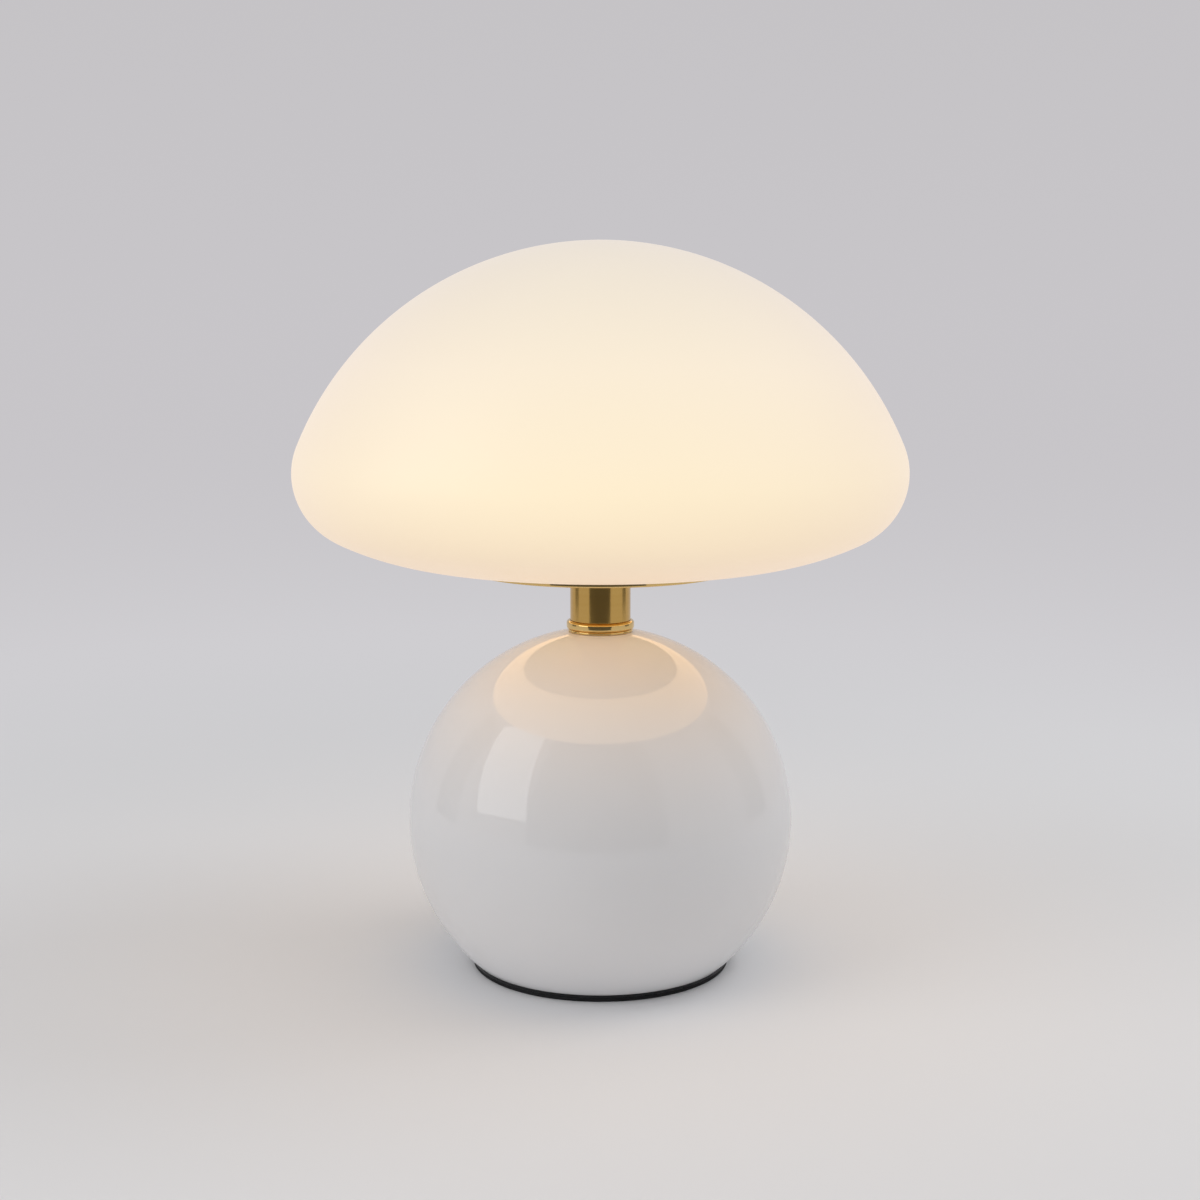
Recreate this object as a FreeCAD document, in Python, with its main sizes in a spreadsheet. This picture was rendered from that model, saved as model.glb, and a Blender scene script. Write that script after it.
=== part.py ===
import FreeCAD, Part
import math
import os

import Sketcher
from FreeCAD import Placement, Rotation, Vector

# Mushroom table lamp: a lacquered steel ball, a brass neck and an opal glass cap.
# Millimetres, +Z up, origin on the floor under the lamp's axis, back of the lamp towards +Y.

document = FreeCAD.newDocument("MushroomLamp")
sheet = document.addObject("Spreadsheet::Sheet", "Sizes")

# ---------------------------------------------------------------- driving dimensions

DIMENSIONS = {
    # foot
    "pad_thickness": 1.6,
    "pad_inset": 0.2,
    "pad_edge": 0.4,
    "cover_sheet": 1.2,
    "cover_upstand": 3.0,
    "pocket_radius": 13.0,
    "pocket_depth": 6.6,
    # ball
    "ball_radius": 80.0,
    "ball_wall": 1.5,
    "foot_radius": 53.9,
    "foot_rim": 5.9,
    # neck
    "lip_radius": 13.4,
    "lip_height": 1.2,
    "bead_radius": 14.0,
    "bead_root": 12.7,
    "bead_height": 3.55,
    "neck_radius": 12.5,
    "neck_wall": 1.1,
    "neck_height": 20.8,
    "spigot_length": 6.0,
    "spigot_wall": 2.0,
    # hollow rod and its nuts
    "rod_radius": 5.0,
    "rod_bore": 3.5,
    "rod_overhang": 0.6,
    "nut_flats": 14.0,
    "nut_height": 4.0,
    "washer_radius": 10.0,
    "washer_height": 1.0,
    "lead_slot_rise": 14.0,
    "lead_slot_width": 4.6,
    "lead_slot_length": 12.0,
    # plate, gasket and glass cap
    "plate_rim": 4.0,
    "plate_thickness": 3.0,
    "plate_edge": 0.5,
    "boss_height": 3.2,
    "gasket_width": 2.2,
    "gasket_thickness": 0.3,
    "glass_gap": 0.42,
    "glass_wall": 3.0,
    "mouth_radius": 50.5,
    "mouth_rounding": 1.0,
    "mouth_play": 1.5,
    "shade_radius": 125.0,
    "shade_height": 130.0,
    "belly_height": 36.9,
    "shoulder_radius": 29.1,
    "underside_radius": 110.0,
    # light source and inner dome
    "carrier_radius": 28.0,
    "carrier_wall": 4.0,
    "carrier_height": 14.0,
    "carrier_head": 5.0,
    "flange_radius": 40.0,
    "flange_height": 3.0,
    "light_board_radius": 26.5,
    "light_board_thickness": 1.6,
    "wire_hole": 3.0,
    "chip_size": 3.0,
    "chip_height": 0.8,
    "chip_ring": 20.0,
    "chip_count": 12,
    "light_screw_ring": 12.5,
    "light_screw_count": 3,
    "dome_radius": 32.0,
    "dome_wall": 2.0,
    "dome_straight": 15.0,
    "dome_foot": 34.5,
    "dome_foot_height": 2.0,
    "dome_ring_lip": 2.0,
    "ring_screw_circle": 37.3,
    "ring_screw_count": 3,
    "ring_screw_grip": 3.0,
    # ballast, tray, cells and driver board
    "ballast_thickness": 17.0,
    "ballast_play": 0.5,
    "tray_radius": 44.0,
    "tray_thickness": 7.0,
    "tray_floor": 2.0,
    "tray_hole": 11.0,
    "tray_screw_offset": 36.0,
    "cell_radius": 9.2,
    "cell_length": 65.0,
    "cell_offset": 17.0,
    "strip_thickness": 0.3,
    "strip_width": 8.0,
    "post_radius": 3.0,
    "post_across": 36.5,
    "post_along": 13.0,
    "board_gap": 3.4,
    "board_length": 81.0,
    "board_width": 34.0,
    "board_thickness": 1.6,
    "board_rod_hole": 6.5,
    # small screws
    "screw_radius": 1.4,
    "screw_head_radius": 2.6,
    "screw_head_height": 1.8,
    "screw_length": 6.0,
    # push button on the back
    "cap_radius": 5.4,
    "cap_proud": 0.8,
    "cap_foot": 6.7,
    "cap_foot_height": 1.4,
    "cap_rounding": 0.5,
    "button_travel": 1.2,
    "button_lip": 3.8,
    "button_wall": 1.1,
    "button_flange": 10.5,
    "button_flange_height": 1.6,
    "button_depth": 14.0,
    "button_nut_radius": 11.0,
    "button_nut_height": 3.0,
    "spring_wire": 0.5,
    "spring_radius": 3.4,
    "spring_turns": 4,
    "spring_well": 3.0,
    "switch_height": 5.0,
    "switch_pin": 1.2,
    # charging port, low on the back
    "port_drop": 28.0,
    "port_flange_length": 15.0,
    "port_flange_height": 8.6,
    "port_flange_proud": 1.2,
    "port_plug_length": 12.4,
    "port_plug_height": 6.4,
    "port_plug_depth": 4.0,
    "socket_length": 9.0,
    "socket_height": 3.3,
    "socket_depth": 9.2,
    "socket_sheet": 0.3,
    "socket_recess": 0.4,
    "tongue_width": 6.6,
    "tongue_thickness": 0.7,
    "port_board_width": 11.6,
    "port_board_depth": 17.0,
    "port_board_thickness": 1.0,
    # inner wiring
    "wire_radius": 0.7,
    "wire_pitch": 1.8,
    "wire_step": 3.0,
    "wire_bow": 13.0,
    # running and assembly clearances
    "fit_gap": 0.2,
    "slide_gap": 0.3,
}

for row, (name, value) in enumerate(DIMENSIONS.items(), start=1):
    sheet.set(f"A{row}", name)
    sheet.set(f"B{row}", str(value))
    sheet.setAlias(f"B{row}", name)
document.recompute()


# ---------------------------------------------------------------- sizes with their formulas

class Size:
    # A length or angle that carries both its number and the formula that the document keeps.
    def __init__(self, value, formula):
        self.value = value
        self.formula = formula

    def __add__(self, other):
        return Size(self.value + number(other), f"({self.formula} + {formula_of(other)})")

    def __sub__(self, other):
        return Size(self.value - number(other), f"({self.formula} - {formula_of(other)})")

    def __mul__(self, other):
        return Size(self.value * number(other), f"({self.formula} * {formula_of(other)})")

    def __truediv__(self, other):
        return Size(self.value / number(other), f"({self.formula} / {formula_of(other)})")

    def __neg__(self):
        return Size(-self.value, f"(0 - {self.formula})")


def number(part):
    return part.value if isinstance(part, Size) else part


def formula_of(part):
    return part.formula if isinstance(part, Size) else str(part)


def root(part):
    return Size(math.sqrt(part.value), f"sqrt({part.formula})")


def leg(long_side, short_side):
    # Third side of a right triangle, such as the height of a ring on a ball.
    return root(long_side * long_side - short_side * short_side)


def size(name):
    return Size(float(sheet.get(name)), f"Sizes.{name}")


# ---------------------------------------------------------------- sketch and body helpers

UPRIGHT = "XZ_Plane"    # turned about the lamp's axis
LYING = "XY_Plane"      # turned about an axis that points to the back


def origin_item(body, role):
    return next(item for item in body.Origin.OriginFeatures if item.Role == role)


def new_body(label):
    body = document.addObject("PartDesign::Body", label)
    body.Label = label
    return body


def new_sketch(body, name, role, height=None):
    # Height is measured from the plane along its normal.
    sketch = body.newObject("Sketcher::SketchObject", f"{body.Label}_{name}")
    sketch.AttachmentSupport = (origin_item(body, role), [""])
    sketch.MapMode = "FlatFace"
    if height is not None:
        sketch.AttachmentOffset = Placement(Vector(0, 0, height.value), Rotation())
        sketch.setExpression("AttachmentOffset.Base.z", height.formula)
    return sketch


def hold(sketch, kind, *where, to):
    index = sketch.addConstraint(Sketcher.Constraint(kind, *where, number(to)))
    if isinstance(to, Size):
        sketch.setExpression(f"Constraints[{index}]", to.formula)


def hold_point(sketch, geometry, end, across, up):
    for kind, axis, place in (("DistanceX", -2, across), ("DistanceY", -1, up)):
        if isinstance(place, Size):
            hold(sketch, kind, -1, 1, geometry, end, to=place)
        else:
            sketch.addConstraint(Sketcher.Constraint("PointOnObject", geometry, end, axis))


def bent_edge(start, finish, radius):
    # Arc of under half a turn; a positive radius turns left on the way from start to finish.
    chord = finish - start
    reach = math.sqrt(max(radius ** 2 - chord.Length ** 2 / 4, 0))
    side = Vector(-chord.y, chord.x, 0).normalize() * math.copysign(reach, radius)
    centre = (start + finish) * 0.5 + side
    first, last = (start, finish) if radius > 0 else (finish, start)
    angles = [math.atan2(point.y - centre.y, point.x - centre.x) for point in (first, last)]
    return Part.ArcOfCircle(Part.Circle(centre, Vector(0, 0, 1), abs(radius)), *angles)


def draw_outline(sketch, corners, bends=None):
    # Closed outline through the corners; bends maps a corner's index to the radius of the arc after it.
    bends = bends or {}
    places = [Vector(number(across), number(up), 0) for across, up in corners]
    starts, finishes = [], []
    for index, start in enumerate(places):
        finish = places[(index + 1) % len(places)]
        if index in bends:
            geometry = sketch.addGeometry(bent_edge(start, finish, bends[index].value), False)
            ends = (1, 2) if bends[index].value > 0 else (2, 1)
        else:
            geometry = sketch.addGeometry(Part.LineSegment(start, finish), False)
            ends = (1, 2)
        starts.append((geometry, ends[0]))
        finishes.append((geometry, ends[1]))
    for index, (across, up) in enumerate(corners):
        sketch.addConstraint(Sketcher.Constraint("Coincident", *finishes[index - 1], *starts[index]))
        hold_point(sketch, *starts[index], across, up)
    for index, radius in bends.items():
        hold(sketch, "Radius", starts[index][0], to=radius if radius.value > 0 else -radius)


def draw_circle(sketch, across, up, radius):
    centre = Vector(number(across), number(up), 0)
    geometry = sketch.addGeometry(Part.Circle(centre, Vector(0, 0, 1), radius.value), False)
    hold_point(sketch, geometry, 3, across, up)
    hold(sketch, "Radius", geometry, to=radius)


def draw_box(sketch, left, low, right, high):
    draw_outline(sketch, [(left, low), (right, low), (right, high), (left, high)])


def draw_slot(sketch, length, height, across=0, up=0):
    # Slot with round ends, lying along the sketch's first axis; its middle is (across, up).
    radius = height / 2
    reach = (length - height) / 2
    middle = Vector(number(across), number(up), 0)
    out, rise = Vector(reach.value, 0, 0), Vector(0, radius.value, 0)
    bottom = sketch.addGeometry(Part.LineSegment(middle - out - rise, middle + out - rise), False)
    right = sketch.addGeometry(Part.ArcOfCircle(
        Part.Circle(middle + out, Vector(0, 0, 1), radius.value), -math.pi / 2, math.pi / 2), False)
    top = sketch.addGeometry(Part.LineSegment(middle + out + rise, middle - out + rise), False)
    left = sketch.addGeometry(Part.ArcOfCircle(
        Part.Circle(middle - out, Vector(0, 0, 1), radius.value), math.pi / 2, 3 * math.pi / 2), False)
    for first, second in ((bottom, right), (right, top), (top, left), (left, bottom)):
        sketch.addConstraint(Sketcher.Constraint("Tangent", first, 2, second, 1))
    sketch.addConstraint(Sketcher.Constraint("Horizontal", bottom))
    right_place = reach + across if isinstance(across, Size) else reach
    left_place = -reach + across if isinstance(across, Size) else -reach
    hold_point(sketch, right, 3, right_place, up)
    hold(sketch, "DistanceX", -1, 1, left, 3, to=left_place)
    hold(sketch, "Radius", right, to=radius)


def revolve(body, sketch):
    feature = body.newObject("PartDesign::Revolution", f"{body.Label}_turned")
    feature.Profile = sketch
    feature.ReferenceAxis = (sketch, ["V_Axis"])
    feature.Angle = 360
    sketch.Visibility = False
    return feature


def turned(label, corners, bends=None, plane=UPRIGHT):
    body = new_body(label)
    sketch = new_sketch(body, "outline", plane)
    draw_outline(sketch, corners, bends)
    revolve(body, sketch)
    return body


def extrude(body, sketch, length, back=False, cut=False, both=False):
    kind = "PartDesign::Pocket" if cut else "PartDesign::Pad"
    feature = body.newObject(kind, f"{sketch.Name}_{'cut' if cut else 'pad'}")
    feature.Profile = sketch
    feature.Length = length.value
    feature.setExpression("Length", length.formula)
    feature.Reversed = back
    if both:
        feature.SideType = "Symmetric"
    sketch.Visibility = False
    return feature


def cut_checked(body, sketch, length, **options):
    # A cut has to take material away.
    document.recompute()
    before = body.Shape.Volume
    feature = extrude(body, sketch, length, cut=True, **options)
    document.recompute()
    if body.Shape.Volume >= before - 1e-6:
        raise RuntimeError(f"{body.Label}: {sketch.Name} cuts nothing")
    return feature


def full_circle(edge):
    return not edge.Degenerated and len(edge.Vertexes) == 1 and isinstance(edge.Curve, Part.Circle)


def round_rims(body, rims, radius):
    # Rims are (radius, height) pairs of full circles about the body's turning axis.
    document.recompute()
    base = body.Tip
    names = []
    for index, edge in enumerate(base.Shape.Edges, start=1):
        if not full_circle(edge):
            continue
        place = edge.Curve.Center.z + edge.Curve.Center.y
        for rim_radius, rim_height in rims:
            if abs(edge.Curve.Radius - rim_radius.value) < 1e-4 and abs(place - rim_height.value) < 1e-4:
                names.append(f"Edge{index}")
    fillet = body.newObject("PartDesign::Fillet", f"{body.Label}_rounding")
    fillet.Base = (base, names)
    fillet.Radius = radius.value
    fillet.setExpression("Radius", radius.formula)
    return fillet


def repeat_round(body, features, axis_role, count):
    pattern = body.newObject("PartDesign::PolarPattern", f"{body.Label}_ring")
    pattern.Originals = features
    pattern.Axis = (origin_item(body, axis_role), [""])
    pattern.Angle = 360
    pattern.Occurrences = int(count.value)
    pattern.setExpression("Occurrences", count.formula)
    body.Tip = pattern
    return pattern


def lean(body, height, drop=None):
    # Carries a body that is drawn about the ball's middle to the back of the ball.
    axis_turn = Rotation(Vector(1, 0, 0), -number(drop) if drop else 0)
    body.Placement = Placement(Vector(0, 0, height.value), axis_turn)
    body.setExpression("Placement.Base.z", height.formula)
    if drop:
        body.setExpression("Placement.Rotation.Angle", f"0 - {drop.formula}")


def hex_nut(label, bottom):
    # Hexagonal nut on the rod, as a prism with its bore cut out.
    prism = document.addObject("Part::Prism", f"{label}_prism")
    prism.Polygon = 6
    prism.setExpression("Circumradius", "Sizes.nut_flats / 2 / cos(30)")
    prism.setExpression("Height", "Sizes.nut_height")
    bore = document.addObject("Part::Cylinder", f"{label}_bore")
    bore.setExpression("Radius", rod_hole.formula)
    bore.setExpression("Height", "Sizes.nut_height")
    for piece in (prism, bore):
        piece.setExpression("Placement.Base.z", bottom.formula)
    nut = document.addObject("Part::Cut", label)
    nut.Base = prism
    nut.Tool = bore
    nut.Label = label
    return nut


def washer(label, bottom):
    top = bottom + size("washer_height")
    rim = size("washer_radius")
    return turned(label, [(rod_hole, bottom), (rim, bottom), (rim, top), (rod_hole, top)])


def screws(label, seat, places):
    # Pan-head screws standing at the given places, heads on the face at height seat.
    body = new_body(label)
    length = size("screw_length")
    shank_sketch = new_sketch(body, "shanks", "XY_Plane", seat - length)
    head_sketch = new_sketch(body, "heads", "XY_Plane", seat)
    for across, along in places:
        draw_circle(shank_sketch, across, along, size("screw_radius"))
        draw_circle(head_sketch, across, along, size("screw_head_radius"))
    extrude(body, shank_sketch, length)
    extrude(body, head_sketch, size("screw_head_height"))
    return body


# ---------------------------------------------------------------- heights of the clamped stack

fit_gap = size("fit_gap")
rod_hole = size("rod_radius") + fit_gap

cover_under = size("pad_thickness")
ball_floor = cover_under + size("cover_sheet")
ball_drop = leg(size("ball_radius"), size("foot_radius"))
base_opening = size("foot_radius") - size("foot_rim")
ball_middle = ball_floor + ball_drop
ball_crown = ball_middle + leg(size("ball_radius"), size("lip_radius"))
bead_foot = ball_crown + size("lip_height")
neck_foot = bead_foot + size("bead_height")
plate_under = neck_foot + size("neck_height")
plate_top = plate_under + size("plate_thickness")
boss_top = plate_top + size("boss_height")
mouth_level = plate_top + size("gasket_thickness") + size("glass_gap")
shade_top = mouth_level + size("shade_height")
neck_bore = size("neck_radius") - size("neck_wall")
boss_radius = size("mouth_radius") - size("mouth_play")

pocket_top = cover_under + size("pocket_depth")
bottom_washer_foot = pocket_top - size("washer_height")
bottom_nut_foot = bottom_washer_foot - size("nut_height")
top_nut_foot = boss_top + size("washer_height")
ballast_top = ball_floor + size("ballast_thickness")
tray_top = ballast_top + size("tray_thickness")
cell_axis = ballast_top + size("tray_floor") + fit_gap + size("cell_radius")
cell_top = cell_axis + size("cell_radius")
board_under = cell_top + size("board_gap")
board_top = board_under + size("board_thickness")
rod_foot = bottom_nut_foot - size("rod_overhang")
rod_head = top_nut_foot + size("nut_height") + size("rod_overhang")


# ---------------------------------------------------------------- foot

def base_pad():
    rim, top = size("foot_radius") - size("pad_inset"), cover_under
    body = turned("base_pad", [(0, 0), (rim, 0), (rim, top), (0, top)])
    round_rims(body, [(rim, Size(0, "0"))], size("pad_edge"))
    return body


def bottom_cover():
    # Pressed disc with an upstand that locates it in the ball and a pocket that hides the rod's nut.
    sheet_thickness = size("cover_sheet")
    upstand_outer = base_opening - fit_gap
    upstand_inner = upstand_outer - sheet_thickness
    upstand_top = ball_floor + size("cover_upstand")
    pocket, rim = size("pocket_radius"), size("foot_radius")
    return turned("bottom_cover", [
        (rod_hole, pocket_top), (pocket, pocket_top), (pocket, cover_under), (rim, cover_under),
        (rim, ball_floor), (upstand_outer, ball_floor), (upstand_outer, upstand_top),
        (upstand_inner, upstand_top), (upstand_inner, ball_floor),
        (pocket + sheet_thickness, ball_floor), (pocket + sheet_thickness, pocket_top + sheet_thickness),
        (rod_hole, pocket_top + sheet_thickness)])


def ballast_disc():
    # Cast weight that sits in the cover's upstand, relieved over the pocket, with tray screw holes.
    rim = base_opening - fit_gap - size("cover_sheet") - size("ballast_play")
    relief = size("pocket_radius") + size("cover_sheet") + size("ballast_play")
    relief_top = pocket_top + size("cover_sheet") + size("ballast_play")
    body = turned("ballast_disc", [
        (relief, ball_floor), (rim, ball_floor), (rim, ballast_top), (rod_hole, ballast_top),
        (rod_hole, relief_top), (relief, relief_top)])
    holes = new_sketch(body, "tray_holes", "XY_Plane", ballast_top)
    for along in (size("tray_screw_offset"), -size("tray_screw_offset")):
        draw_circle(holes, 0, along, size("screw_radius") + fit_gap)
    cut_checked(body, holes, size("screw_length"))
    return body


# ---------------------------------------------------------------- ball

def ball_shell():
    # Spun ball with turned-in flats at both ends, and the two openings on its back.
    wall = size("ball_wall")
    outer, inner = size("ball_radius"), size("ball_radius") - size("ball_wall")
    floor_top, crown_under = ball_floor + wall, ball_crown - wall
    body = turned("ball_shell", [
        (size("foot_radius"), ball_floor),
        (size("lip_radius"), ball_crown),
        (rod_hole, ball_crown),
        (rod_hole, crown_under),
        (leg(inner, crown_under - ball_middle), crown_under),
        (leg(inner, ball_middle - floor_top), floor_top),
        (base_opening, floor_top),
        (base_opening, ball_floor)],
        bends={0: outer, 4: -inner})
    button_hole = new_sketch(body, "button_hole", "XZ_Plane")
    draw_circle(button_hole, 0, ball_middle, button_barrel + fit_gap)
    cut_checked(body, button_hole, outer * 2)
    port_hole = new_sketch(body, "port_hole", "XZ_Plane")
    port_hole.AttachmentOffset = Placement(
        Vector(0, ball_middle.value, 0), Rotation(Vector(1, 0, 0), -size("port_drop").value))
    port_hole.setExpression("AttachmentOffset.Base.y", ball_middle.formula)
    port_hole.setExpression("AttachmentOffset.Rotation.Angle", "0 - Sizes.port_drop")
    draw_slot(port_hole, size("port_plug_length") + fit_gap * 2, size("port_plug_height") + fit_gap * 2)
    cut_checked(body, port_hole, outer * 2)
    return body


# ---------------------------------------------------------------- neck

def neck_collar():
    # Polished bead over a thin lip, with a spigot that centres the tube.
    bore, spigot = neck_bore - fit_gap - size("spigot_wall"), neck_bore - fit_gap
    spigot_top = neck_foot + size("spigot_length")
    bead_root, half_bead = size("bead_root"), size("bead_height") / 2
    swell = size("bead_radius") - bead_root
    bead_bend = (half_bead * half_bead + swell * swell) / (swell * 2)
    return turned("neck_collar", [
        (rod_hole, ball_crown), (size("lip_radius"), ball_crown), (size("lip_radius"), bead_foot),
        (bead_root, bead_foot), (bead_root, neck_foot), (spigot, neck_foot), (spigot, spigot_top),
        (bore, spigot_top), (bore, bead_foot), (rod_hole, bead_foot)],
        bends={3: bead_bend})


def neck_tube():
    rim = size("neck_radius")
    return turned("neck_tube", [
        (neck_bore, neck_foot), (rim, neck_foot), (rim, plate_under), (neck_bore, plate_under)])


def threaded_rod():
    # Hollow rod through the whole lamp, slotted where the light's wires enter it.
    rim, bore = size("rod_radius"), size("rod_bore")
    body = turned("threaded_rod", [(bore, rod_foot), (rim, rod_foot), (rim, rod_head), (bore, rod_head)])
    slot = new_sketch(body, "lead_slot", "YZ_Plane")
    half = size("lead_slot_width") / 2
    low = board_top + size("lead_slot_rise")
    draw_box(slot, -half, low, half, low + size("lead_slot_length"))
    cut_checked(body, slot, rim * 2, back=True)
    return body


# ---------------------------------------------------------------- plate, gasket and glass

def shade_plate():
    # Brass plate with a raised boss inside the glass mouth and a spigot in the neck tube.
    spigot, rim = neck_bore - fit_gap, size("mouth_radius") + size("plate_rim")
    spigot_foot = plate_under - size("spigot_length")
    body = turned("shade_plate", [
        (rod_hole, spigot_foot), (spigot, spigot_foot), (spigot, plate_under), (rim, plate_under),
        (rim, plate_top), (boss_radius, plate_top), (boss_radius, boss_top), (rod_hole, boss_top)])
    round_rims(body, [(rim, plate_under), (rim, plate_top)], size("plate_edge"))
    holes = new_sketch(body, "screw_hole", "XY_Plane", boss_top)
    draw_circle(holes, size("ring_screw_circle"), 0, size("screw_radius") + fit_gap)
    cut = cut_checked(body, holes, size("ring_screw_grip") + fit_gap)
    repeat_round(body, [cut], "Z_Axis", size("ring_screw_count"))
    return body


def shade_gasket():
    inner = boss_radius + fit_gap * 2
    outer = inner + size("gasket_width")
    top = plate_top + size("gasket_thickness")
    return turned("shade_gasket", [(inner, plate_top), (outer, plate_top), (outer, top), (inner, top)])


def glass_shade():
    # Blown cap of one even wall: crown, shoulder and underside arcs that meet smoothly.
    crown_centre_high = size("shade_height") - size("belly_height")
    shoulder, under, wall = size("shoulder_radius"), size("underside_radius"), size("glass_wall")
    shoulder_out = size("shade_radius") - shoulder
    belly = mouth_level + size("belly_height")
    # the crown is the one circle about the axis that passes the top and touches the shoulder circle
    crown = ((shoulder_out * shoulder_out + crown_centre_high * crown_centre_high - shoulder * shoulder)
             / ((crown_centre_high - shoulder) * 2))
    crown_middle = Vector(0, (shade_top - crown).value, 0)
    shoulder_middle = Vector(shoulder_out.value, belly.value, 0)
    # the underside circle passes the mouth and touches the shoulder circle from outside it
    mouth = Vector(size("mouth_radius").value, mouth_level.value, 0)
    near, far = (under - shoulder).value, under.value
    line = mouth - shoulder_middle
    along = (near ** 2 - far ** 2 + line.Length ** 2) / (2 * line.Length)
    off = math.sqrt(near ** 2 - along ** 2)
    line.normalize()
    under_middle = shoulder_middle + line * along + Vector(line.y, -line.x, 0) * off
    crown_end = (shoulder_middle - crown_middle).normalize()
    shoulder_end = (shoulder_middle - under_middle).normalize()
    body = new_body("glass_shade")
    sketch = new_sketch(body, "outline", UPRIGHT)
    up = Vector(0, 1, 0)
    arcs = {}
    for name, depth in (("outer", 0.0), ("inner", wall.value)):
        mouth_reach = mouth.x - under_middle.x
        mouth_drop = math.sqrt((under.value - depth) ** 2 - mouth_reach ** 2)
        mouth_end = Vector(mouth_reach, -mouth_drop, 0)
        arcs[name] = [
            arc_about(sketch, crown_middle, crown.value - depth, crown_end, up),
            arc_about(sketch, shoulder_middle, shoulder.value - depth, shoulder_end, crown_end),
            arc_about(sketch, under_middle, under.value - depth, mouth_end, shoulder_end)]
    for first, second, third in arcs.values():
        sketch.addConstraint(Sketcher.Constraint("Tangent", first, 1, second, 2))
        sketch.addConstraint(Sketcher.Constraint("Tangent", second, 1, third, 2))
    crown_arc, shoulder_arc, under_arc = arcs["outer"]
    inner_crown, inner_shoulder, inner_under = arcs["inner"]
    for outer_arc, inner_arc in zip(arcs["outer"], arcs["inner"]):
        if outer_arc != crown_arc:
            sketch.addConstraint(Sketcher.Constraint("Coincident", outer_arc, 3, inner_arc, 3))
    top_line = sketch.addGeometry(Part.LineSegment(
        Vector(0, shade_top.value, 0), Vector(0, (shade_top - wall).value, 0)), False)
    mouth_line = sketch.addGeometry(Part.LineSegment(
        mouth, mouth + Vector(0, wall.value, 0)), False)
    sketch.addConstraint(Sketcher.Constraint("Coincident", crown_arc, 2, top_line, 1))
    sketch.addConstraint(Sketcher.Constraint("Coincident", inner_crown, 2, top_line, 2))
    sketch.addConstraint(Sketcher.Constraint("Coincident", under_arc, 1, mouth_line, 1))
    sketch.addConstraint(Sketcher.Constraint("Coincident", inner_under, 1, mouth_line, 2))
    sketch.addConstraint(Sketcher.Constraint("Vertical", mouth_line))
    sketch.addConstraint(Sketcher.Constraint("PointOnObject", top_line, 1, -2))
    sketch.addConstraint(Sketcher.Constraint("PointOnObject", top_line, 2, -2))
    sketch.addConstraint(Sketcher.Constraint("PointOnObject", crown_arc, 3, -2))
    sketch.addConstraint(Sketcher.Constraint("PointOnObject", inner_crown, 3, -2))
    hold(sketch, "DistanceY", -1, 1, top_line, 1, to=shade_top)
    hold(sketch, "DistanceY", -1, 1, top_line, 2, to=shade_top - wall)
    hold(sketch, "DistanceX", -1, 1, shoulder_arc, 3, to=shoulder_out)
    hold(sketch, "DistanceY", -1, 1, shoulder_arc, 3, to=belly)
    hold(sketch, "Radius", shoulder_arc, to=shoulder)
    hold(sketch, "Radius", inner_shoulder, to=shoulder - wall)
    hold(sketch, "Radius", under_arc, to=under)
    hold(sketch, "DistanceX", -1, 1, mouth_line, 1, to=size("mouth_radius"))
    hold(sketch, "DistanceY", -1, 1, mouth_line, 1, to=mouth_level)
    revolve(body, sketch)
    round_mouth(body)
    return body


def arc_about(sketch, middle, radius, first, last):
    # Arc from the direction first, turning left to the direction last.
    start, finish = (math.atan2(way.y, way.x) for way in (first, last))
    return sketch.addGeometry(Part.ArcOfCircle(
        Part.Circle(middle, Vector(0, 0, 1), radius), start, finish), False)


def round_mouth(body):
    # Fire-polished edges of the mouth.
    document.recompute()
    base = body.Tip
    names = [f"Edge{index}" for index, edge in enumerate(base.Shape.Edges, start=1)
             if full_circle(edge) and abs(edge.Curve.Radius - size("mouth_radius").value) < 1e-4]
    fillet = body.newObject("PartDesign::Fillet", "glass_shade_mouth")
    fillet.Base = (base, names)
    fillet.Radius = size("mouth_rounding").value
    fillet.setExpression("Radius", "Sizes.mouth_rounding")


# ---------------------------------------------------------------- light source and inner dome

carrier_top = boss_top + size("carrier_height")
light_board_top = carrier_top + size("light_board_thickness")
flange_top = boss_top + size("flange_height")
dome_foot_top = flange_top + size("dome_foot_height")
dome_spring_line = dome_foot_top + size("dome_straight")
ring_top = dome_foot_top + size("dome_ring_lip")


def led_carrier():
    # Turned pedestal: heat sink for the light, hollow over the rod's nut.
    side, cavity = size("carrier_radius"), size("carrier_radius") - size("carrier_wall")
    flange, head_under = size("flange_radius"), carrier_top - size("carrier_head")
    body = turned("led_carrier", [
        (cavity, boss_top), (flange, boss_top), (flange, flange_top), (side, flange_top),
        (side, carrier_top), (size("wire_hole"), carrier_top), (size("wire_hole"), head_under),
        (cavity, head_under)])
    flange_holes = new_sketch(body, "flange_hole", "XY_Plane", flange_top)
    draw_circle(flange_holes, size("ring_screw_circle"), 0, size("screw_radius") + fit_gap)
    first = cut_checked(body, flange_holes, size("flange_height"))
    repeat_round(body, [first], "Z_Axis", size("ring_screw_count"))
    board_holes = new_sketch(body, "board_hole", "XY_Plane", carrier_top)
    draw_circle(board_holes, size("light_screw_ring"), 0, size("screw_radius") + fit_gap)
    second = cut_checked(body, board_holes, size("carrier_head"))
    repeat_round(body, [second], "Z_Axis", size("light_screw_count"))
    return body


def led_board():
    rim, hole = size("light_board_radius"), size("wire_hole")
    body = turned("led_board", [
        (hole, carrier_top), (rim, carrier_top), (rim, light_board_top), (hole, light_board_top)])
    holes = new_sketch(body, "screw_hole", "XY_Plane", light_board_top)
    draw_circle(holes, size("light_screw_ring"), 0, size("screw_radius") + fit_gap)
    cut = cut_checked(body, holes, size("light_board_thickness"))
    repeat_round(body, [cut], "Z_Axis", size("light_screw_count"))
    return body


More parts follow.
